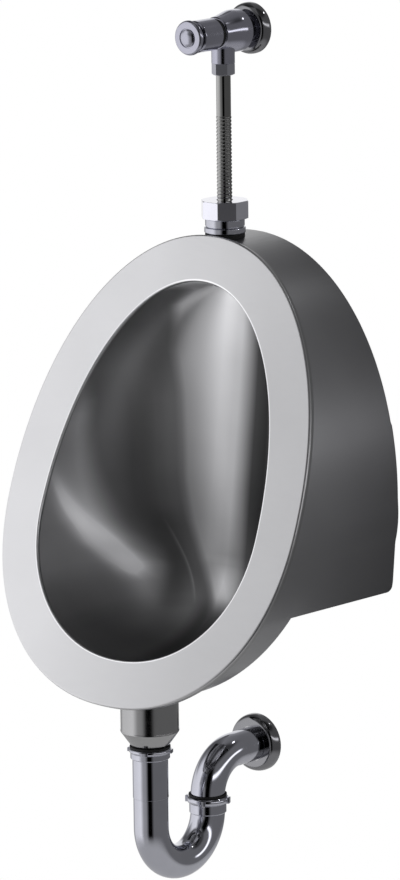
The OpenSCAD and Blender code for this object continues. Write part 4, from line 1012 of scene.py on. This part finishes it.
def bowl_point(across, down):
    """A point of the inner surface: across runs from edge to edge, down from top to foot."""
    angle, sweep = math.pi / 2 - math.pi * down, math.pi * across
    edge, centre = on_plane(well_point(angle, 0), BOWL_DEPTH), middle(angle)
    blend = min(max(-angle / PAN_ANGLE, 0), 1)
    power = BACK_POWER + (PAN_POWER - BACK_POWER) * blend * blend * (3 - 2 * blend)
    cosine, sine = math.cos(sweep), max(math.sin(sweep), 0)
    x = math.copysign(abs(cosine) ** (2 / power), cosine)
    s = sine ** (2 / power)
    return Vector((edge.x * x, edge.y + s * (centre.x - edge.y), edge.z + s * (centre.y - edge.z)))


print("bowl depth at the middle:", round(-BOWL_BACK_GAP - top_edge.y, 3), "m")

# %% [markdown]
# The photograph shows a soft fold, a soft corner and a thin bright line in the bowl. Here the
# sheet stays smooth, and tint, roughness and leaned normals draw them, fitted to that one view.

# %% Finish of the bowl
# The bowl's tint paints light and shade: highlights on the fold, shade left of the corner and along the right
# lip
FOLD_ACROSS = (0.532, -0.759, -0.375)
FOLD_AT = 0.1146
FOLD_FACING = (0.79, -0.55, 0.27)
FOLD_LEAN, FOLD_FINER, WALL_COARSER = 0.72, 0.16, 0.17
# Gains of the painted light and painted shade in the bowl's tint
BELOW_GAIN, FOLD_HIGHLIGHT_GAIN, GLOW_GAIN, LEFT_GAIN, ROOF_GAIN = 2.1, 1.7, 0.45, -0.24, -0.36
FOOT_GAIN, BESIDE_GAIN, THIN_HIGHLIGHT_GAIN = 1.2, 0.6, 0.8
BRIGHTEST_TINT = 1.55


def past_fold(finish):
    """Distance below the fold, which bends away near the floor of the pan."""
    bend = finish.fade(finish.at("Z"), ((-0.335, 0.020), (-0.31, 0.0045), (-0.29, 0.0)))
    return finish.sub(finish.sub(finish.along(FOLD_ACROSS), FOLD_AT), bend)


def past_corner(finish):
    """Distance to the right of the soft corner where the left wall turns into the back."""
    corner = finish.fade(finish.at("Z"), (
        (-0.345, 0.022), (-0.328, 0.029), (-0.307, 0.041), (-0.287, 0.050), (-0.243, 0.062), (-0.198, 0.069),
        (-0.1, 0.071), (-0.053, 0.076), (-0.018, 0.070), (0.0, 0.065), (0.017, 0.048)))
    return finish.add(finish.at("X"), corner)


# The fold mask also carries a painted highlight along the fold in the bowl's tint
def fold(finish):
    """One along the soft fold where the left wall turns into the pan, and none away from it."""
    line = finish.fade(past_fold(finish), (
        (-0.034, 0.0), (-0.022, 0.12), (-0.012, 0.45), (-0.003, 1.0), (0.003, 1.0), (0.009, 0.5),
        (0.018, 0.12), (0.026, 0.0)))
    height = finish.fade(finish.at("Z"), (
        (-0.345, 0.0), (-0.331, 0.25), (-0.31, 0.4), (-0.294, 0.9), (-0.262, 1.0), (-0.24, 0.75),
        (-0.2, 0.45), (-0.15, 0.0)))
    return finish.mul(line, finish.mul(height, finish.soft(finish.at("X"), -0.06, -0.09)))


# Mask of painted light: the wall left of the fold and the pan are brightened in the tint
def below_fold(finish):
    """One on the wall left of the fold and on the pan, which the photograph shows brighter."""
    shift = finish.fade(finish.at("Z"), (
        (-0.31, -0.008), (-0.285, 0.005), (-0.265, 0.011), (-0.243, 0.017), (-0.197, 0.029), (-0.15, 0.042),
        (-0.105, 0.056)))
    side = finish.soft(finish.add(past_fold(finish), shift), -0.009, 0.010)
    level = finish.fade(finish.at("Z"), (
        (-0.36, 0.3), (-0.33, 0.35), (-0.3, 0.65), (-0.28, 0.95), (-0.26, 1.0), (-0.12, 1.0), (-0.1, 0.5),
        (-0.07, 0.0)))
    return finish.mul(finish.soft(past_corner(finish), -0.008, -0.03), finish.mul(side, level))


def bowl_coarse(finish):
    """The left wall and the pan are coarser than the back, and the fold is finer."""
    wall = finish.soft(past_corner(finish), 0.008, -0.008, 0, WALL_COARSER)
    return finish.sub(wall, finish.mul(fold(finish), FOLD_FINER))


def bowl_painted_light(finish):
    """Painted light and shade: the steel is darker left of the corner and along the right lip, with paler
    places between.
    """
    across, height, corner = finish.at("X"), finish.at("Z"), past_corner(finish)
    shade = finish.fade(corner, ((-0.06, 0.6), (-0.006, 0.6), (0.006, 1.0), (0.06, 1.0)))
    shade = finish.mul(shade, finish.fade(height, (
        (-0.37, 0.7), (-0.34, 0.8), (-0.325, 0.95), (-0.285, 0.9), (-0.24, 0.75), (-0.16, 0.85),
        (-0.08, 1.06), (0.0, 1.35), (0.02, 1.6))))
    shade = finish.mul(shade, finish.fade(finish.along((1.0, 0.0, -0.10)), (
        (-0.015, 1.0), (0.002, 0.82), (0.010, 0.8), (0.018, 0.6), (0.026, 0.42), (0.036, 0.16), (0.055, 0.16),
        (0.08, 0.8), (0.10, 1.0))))
    low = finish.spread(height, -0.06, -0.20, 0, 1)
    line = fold(finish)
    # Painted highlight: the back is brightest halfway to the right lip, more so lower down
    glow = finish.fade(across, (
        (-0.07, 0.0), (-0.035, 0.4), (-0.008, 1.0), (0.003, 1.0), (0.016, 0.4), (0.03, 0.3)))
    left = finish.spread(corner, 0.010, 0.05, 1, 0)
    # Painted shade makes the roof over the left wall darker, and painted light makes the foot of the back
    # paler
    roof = finish.mul(finish.spread(height, -0.07, -0.02, 0, 1), finish.spread(corner, 0.004, -0.004, 0, 1))
    foot = finish.mul(finish.spread(height, -0.29, -0.325, 0, 1), finish.spread(corner, 0, 0.02, 0, 1))
    # Painted light: a paler stretch of wall beside the corner
    beside = finish.mul(
        finish.fade(corner, (
            (-0.045, 0.0), (-0.035, 0.5), (-0.025, 1.0), (-0.015, 0.9), (-0.006, 0.5), (0.0, 0.0))),
        finish.fade(height, ((-0.25, 0.0), (-0.22, 0.8), (-0.18, 1.0), (-0.11, 0.8), (-0.07, 0.0))))
    # Painted highlight: a thin bright line low on the left wall
    thin_highlight = finish.mul(
        finish.fade(finish.along((1.0, 0.0, 0.44)), (
            (-0.1975, 0.0), (-0.1955, 0.3), (-0.194, 1.0), (-0.1925, 0.1), (-0.191, 0.0))),
        finish.fade(height, ((-0.335, 0.0), (-0.31, 1.0), (-0.27, 1.0), (-0.24, 0.0))))
    for mask, gain in (
            (below_fold(finish), BELOW_GAIN), (finish.mul(line, line), FOLD_HIGHLIGHT_GAIN),
            (finish.mul(glow, low), GLOW_GAIN), (finish.mul(left, low), LEFT_GAIN), (roof, ROOF_GAIN),
            (foot, FOOT_GAIN), (beside, BESIDE_GAIN), (thin_highlight, THIN_HIGHLIGHT_GAIN)):
        shade = times(finish, shade, mask, gain)
    return finish.math("MINIMUM", shade, BRIGHTEST_TINT)


def bowl_lean(finish):
    """The fold faces up and forward, and the back leans back a little above the pan."""
    normal = finish.source("ShaderNodeNewGeometry", "Normal")
    turned_away = finish.vector("SUBTRACT", FOLD_FACING, normal)
    leaned = finish.product(turned_away, finish.mul(fold(finish), FOLD_LEAN))
    leaned = finish.vector("ADD", normal, leaned)
    foot = finish.fade(finish.at("Z"), (
        (-0.38, 0.0), (-0.32, 0.02), (-0.295, 0.16), (-0.27, 0.14), (-0.20, 0.0)))
    leaned = finish.vector("ADD", leaned, finish.product((0.0, 0.0, 1.0), foot))
    return finish.vector("NORMALIZE", leaned)


bowl_steel = brushed(
    "bowl_steel", STEEL, 0.33, (4, 700, 1), cloud=0.05, source="UV", clouds=(9, 9, 9), shade=bowl_painted_light,
    lean=bowl_lean, coarse=bowl_coarse)
print("bowl finish made")

# %% Bowl
BOWL_COLUMNS, BOWL_ROWS = 120, 180
HOLE_REACH, HOLE_BELOW, HOLE_ABOVE = 1.12, 0.01, 0.03
BACK_MIDDLE_Z = -0.2


def open_hole(bm, y, radius, z):
    """Takes the faces inside an upright hole away, and moves the edge left onto its circle."""
    low, high = z - HOLE_BELOW, z + HOLE_ABOVE

    def reach(vert):
        return math.hypot(vert.co.x, vert.co.y - y)

    inside = [f for f in bm.faces if all(reach(v) < radius and low < v.co.z < high for v in f.verts)]
    bmesh.ops.delete(bm, geom=inside, context="FACES")
    for vert in bm.verts:
        if vert.is_boundary and reach(vert) < radius * HOLE_REACH and low < vert.co.z < high:
            scale = radius / reach(vert)
            vert.co.x, vert.co.y = vert.co.x * scale, y + (vert.co.y - y) * scale


def give_sheet(piece):
    wall = piece.modifiers.new("sheet", "SOLIDIFY")
    wall.thickness, wall.offset = SHEET, -1
    return piece


def make_bowl():
    bm = bmesh.new()
    bmesh.ops.create_grid(bm, x_segments=BOWL_COLUMNS, y_segments=BOWL_ROWS, size=0.5, calc_uvs=True)
    for vert in bm.verts:
        vert.co = bowl_point(vert.co.x + 0.5, vert.co.y + 0.5)
    bmesh.ops.remove_doubles(bm, verts=bm.verts, dist=MERGE)
    open_hole(bm, -DRAIN_Y, CUP_R + SEAT_GAP, floor_z)
    open_hole(bm, -PIPE_Y, SPREADER_R + SEAT_GAP, top_edge.z)
    outward(bm)
    back = Vector((0, -BOWL_BACK_GAP, BACK_MIDDLE_Z))
    middle_face = min(bm.faces, key=lambda f: (f.calc_center_median() - back).length)
    if middle_face.normal.y > 0:
        bmesh.ops.reverse_faces(bm, faces=bm.faces)
    return give_sheet(finish_object(
        bm, "bowl_pressing", bowl_steel, "fixture", "brushed_steel_dark", nodes=("bowl",)))


bowl = make_bowl()
print("bowl faces:", len(bowl.data.polygons))

# %% [markdown]
# ## Side skirt
# The skirt is a strip of the same steel, wrapped round behind the rim and back to the wall.
# At the foot it is cut level, and only a narrow band goes on under the lip.
# A ring is lofted from the rim to the band's edge, and then only its upper part is
# extruded on to the wall and turned in, where it lies against the tiles.

# %% Side skirt
SKIRT_INSET, SKIRT_FOOT_H, SKIRT_BAND = 0.005, 0.105, 0.054
SKIRT_FLARE, SKIRT_FLANGE, NOTCH_GAP = 0.08, 0.014, 0.006
SKIRT_DEPTH = SHEET + SEAT_GAP
SKIRT_STEPS = 288
CORNER_R, CORNER_STEPS, FRONT_STEPS = 0.009, 8, 6
WIDE_Z = RIM_Z + RIM_SHAPE[0] * RIM_H * math.cos(RIM_TILT)
WIDE_HALF = RIM_W / 2 - SKIRT_INSET


def skirt_angle(z):
    v = (z - RIM_Z + SKIRT_DEPTH * math.sin(RIM_TILT)) / math.cos(RIM_TILT) - SKIRT_INSET
    rel = RIM_SHAPE[0] - v / (RIM_H - 2 * SKIRT_INSET)
    return math.asin((rel / RIM_SHAPE[0]) ** (RIM_SHAPE[1] / 2))


FOOT_ANGLE = skirt_angle(RIM_Z + SKIRT_FOOT_H)


def skirt_edge(angle, inset=0.0):
    return on_plane(rim_point(angle, SKIRT_INSET + inset), SKIRT_DEPTH)


foot_edge = skirt_edge(-FOOT_ANGLE)
FOOT_GROW = WIDE_HALF - (WIDE_Z - foot_edge.z) * SKIRT_FLARE - foot_edge.x


def grow(point):
    if point.z > WIDE_Z:
        return 0.0
    if point.z > foot_edge.z - SEAT_GAP:
        half = WIDE_HALF - (WIDE_Z - point.z) * SKIRT_FLARE
        return math.copysign(half - abs(point.x), point.x)
    return point.x / foot_edge.x * FOOT_GROW


def skirt_columns():
    """Angles round the rim: even steps above the foot, and even steps along the band."""
    upper, lower = SKIRT_STEPS * 3 // 4, SKIRT_STEPS // 4
    rise, rest = math.pi + 2 * FOOT_ANGLE, math.pi - 2 * FOOT_ANGLE
    return [-FOOT_ANGLE + rise * i / upper for i in range(upper)] + [
        math.pi + FOOT_ANGLE + rest * i / lower for i in range(lower)], upper


def skirt_station(angle, share, inset=0.0):
    point, inner = skirt_edge(angle), skirt_edge(angle, inset)
    back = share * point.y
    return Vector((inner.x + grow(point) * (1 - share), back, inner.z))


def rounded_foot(angle, share):
    """Near the wall the foot's corner is round, so the columns there are drawn up a little."""
    reach = min(-share * skirt_edge(-FOOT_ANGLE).y, CORNER_R)
    rise = CORNER_R - math.sqrt(CORNER_R ** 2 - (CORNER_R - reach) ** 2)
    foot = skirt_angle(RIM_Z + SKIRT_FOOT_H + rise)
    middle = math.pi / 2
    return middle + (angle - middle) * (middle + foot) / (middle + FOOT_ANGLE)


def make_skirt():
    columns, upper = skirt_columns()
    bm = bmesh.new()
    number = bm.verts.layers.int.new("column")
    ring = bmesh.ops.create_circle(bm, segments=SKIRT_STEPS, radius=1.0)["verts"]
    for i, vert in enumerate(ring):
        vert[number] = i
        vert.co = skirt_edge(columns[i])

    def extend(edges, place):
        fresh, edges = extruded(bm, edges)
        for vert in fresh:
            vert.co = place(columns[vert[number]])
        return edges

    def band_end(angle):
        point = skirt_edge(angle)
        return skirt_station(angle, 1 - SKIRT_BAND / -point.y)

    edges = extend(list(bm.edges), band_end)
    tall = [e for e in edges if all(v[number] <= upper for v in e.verts)]
    corner = -CORNER_R / foot_edge.y
    shares = [corner + (1 - corner) * (1 - i / FRONT_STEPS) for i in range(1, FRONT_STEPS + 1)]
    shares += [corner * (1 - i / CORNER_STEPS) for i in range(1, CORNER_STEPS + 1)]
    for share in shares:
        def between(angle, share=share):
            near = 1 - SKIRT_BAND / -skirt_edge(angle).y
            back = near * share if share > corner else share
            return skirt_station(rounded_foot(angle, back), back)
        tall = extend(tall, between)
    for vert in {v for e in tall for v in e.verts}:
        vert.co.y = -SHEET / 2
    at_wall = Vector((0, SHEET / 2, 0))
    flange = extend(tall, lambda angle: skirt_station(rounded_foot(angle, 0), 0, SKIRT_FLANGE) - at_wall)
    outward(bm)
    top = max(bm.faces, key=lambda f: f.calc_center_median().z)
    if top.normal.z < 0:
        bmesh.ops.reverse_faces(bm, faces=bm.faces)
    notch = CUP_R + NOTCH_GAP
    for vert in bm.verts:
        if vert.co.z < floor_z and math.hypot(vert.co.x, vert.co.y + DRAIN_Y) < notch:
            vert.co.y = -DRAIN_Y - math.sqrt(notch ** 2 - vert.co.x ** 2)
    print("flange edges:", len(flange))
    slot = "brushed_steel_dark"
    return give_sheet(finish_object(
        bm, "skirt_sheet", FINISHES[slot], "fixture", slot, nodes=("side_skirt",)))


skirt = make_skirt()
print("skirt faces:", len(skirt.data.polygons))
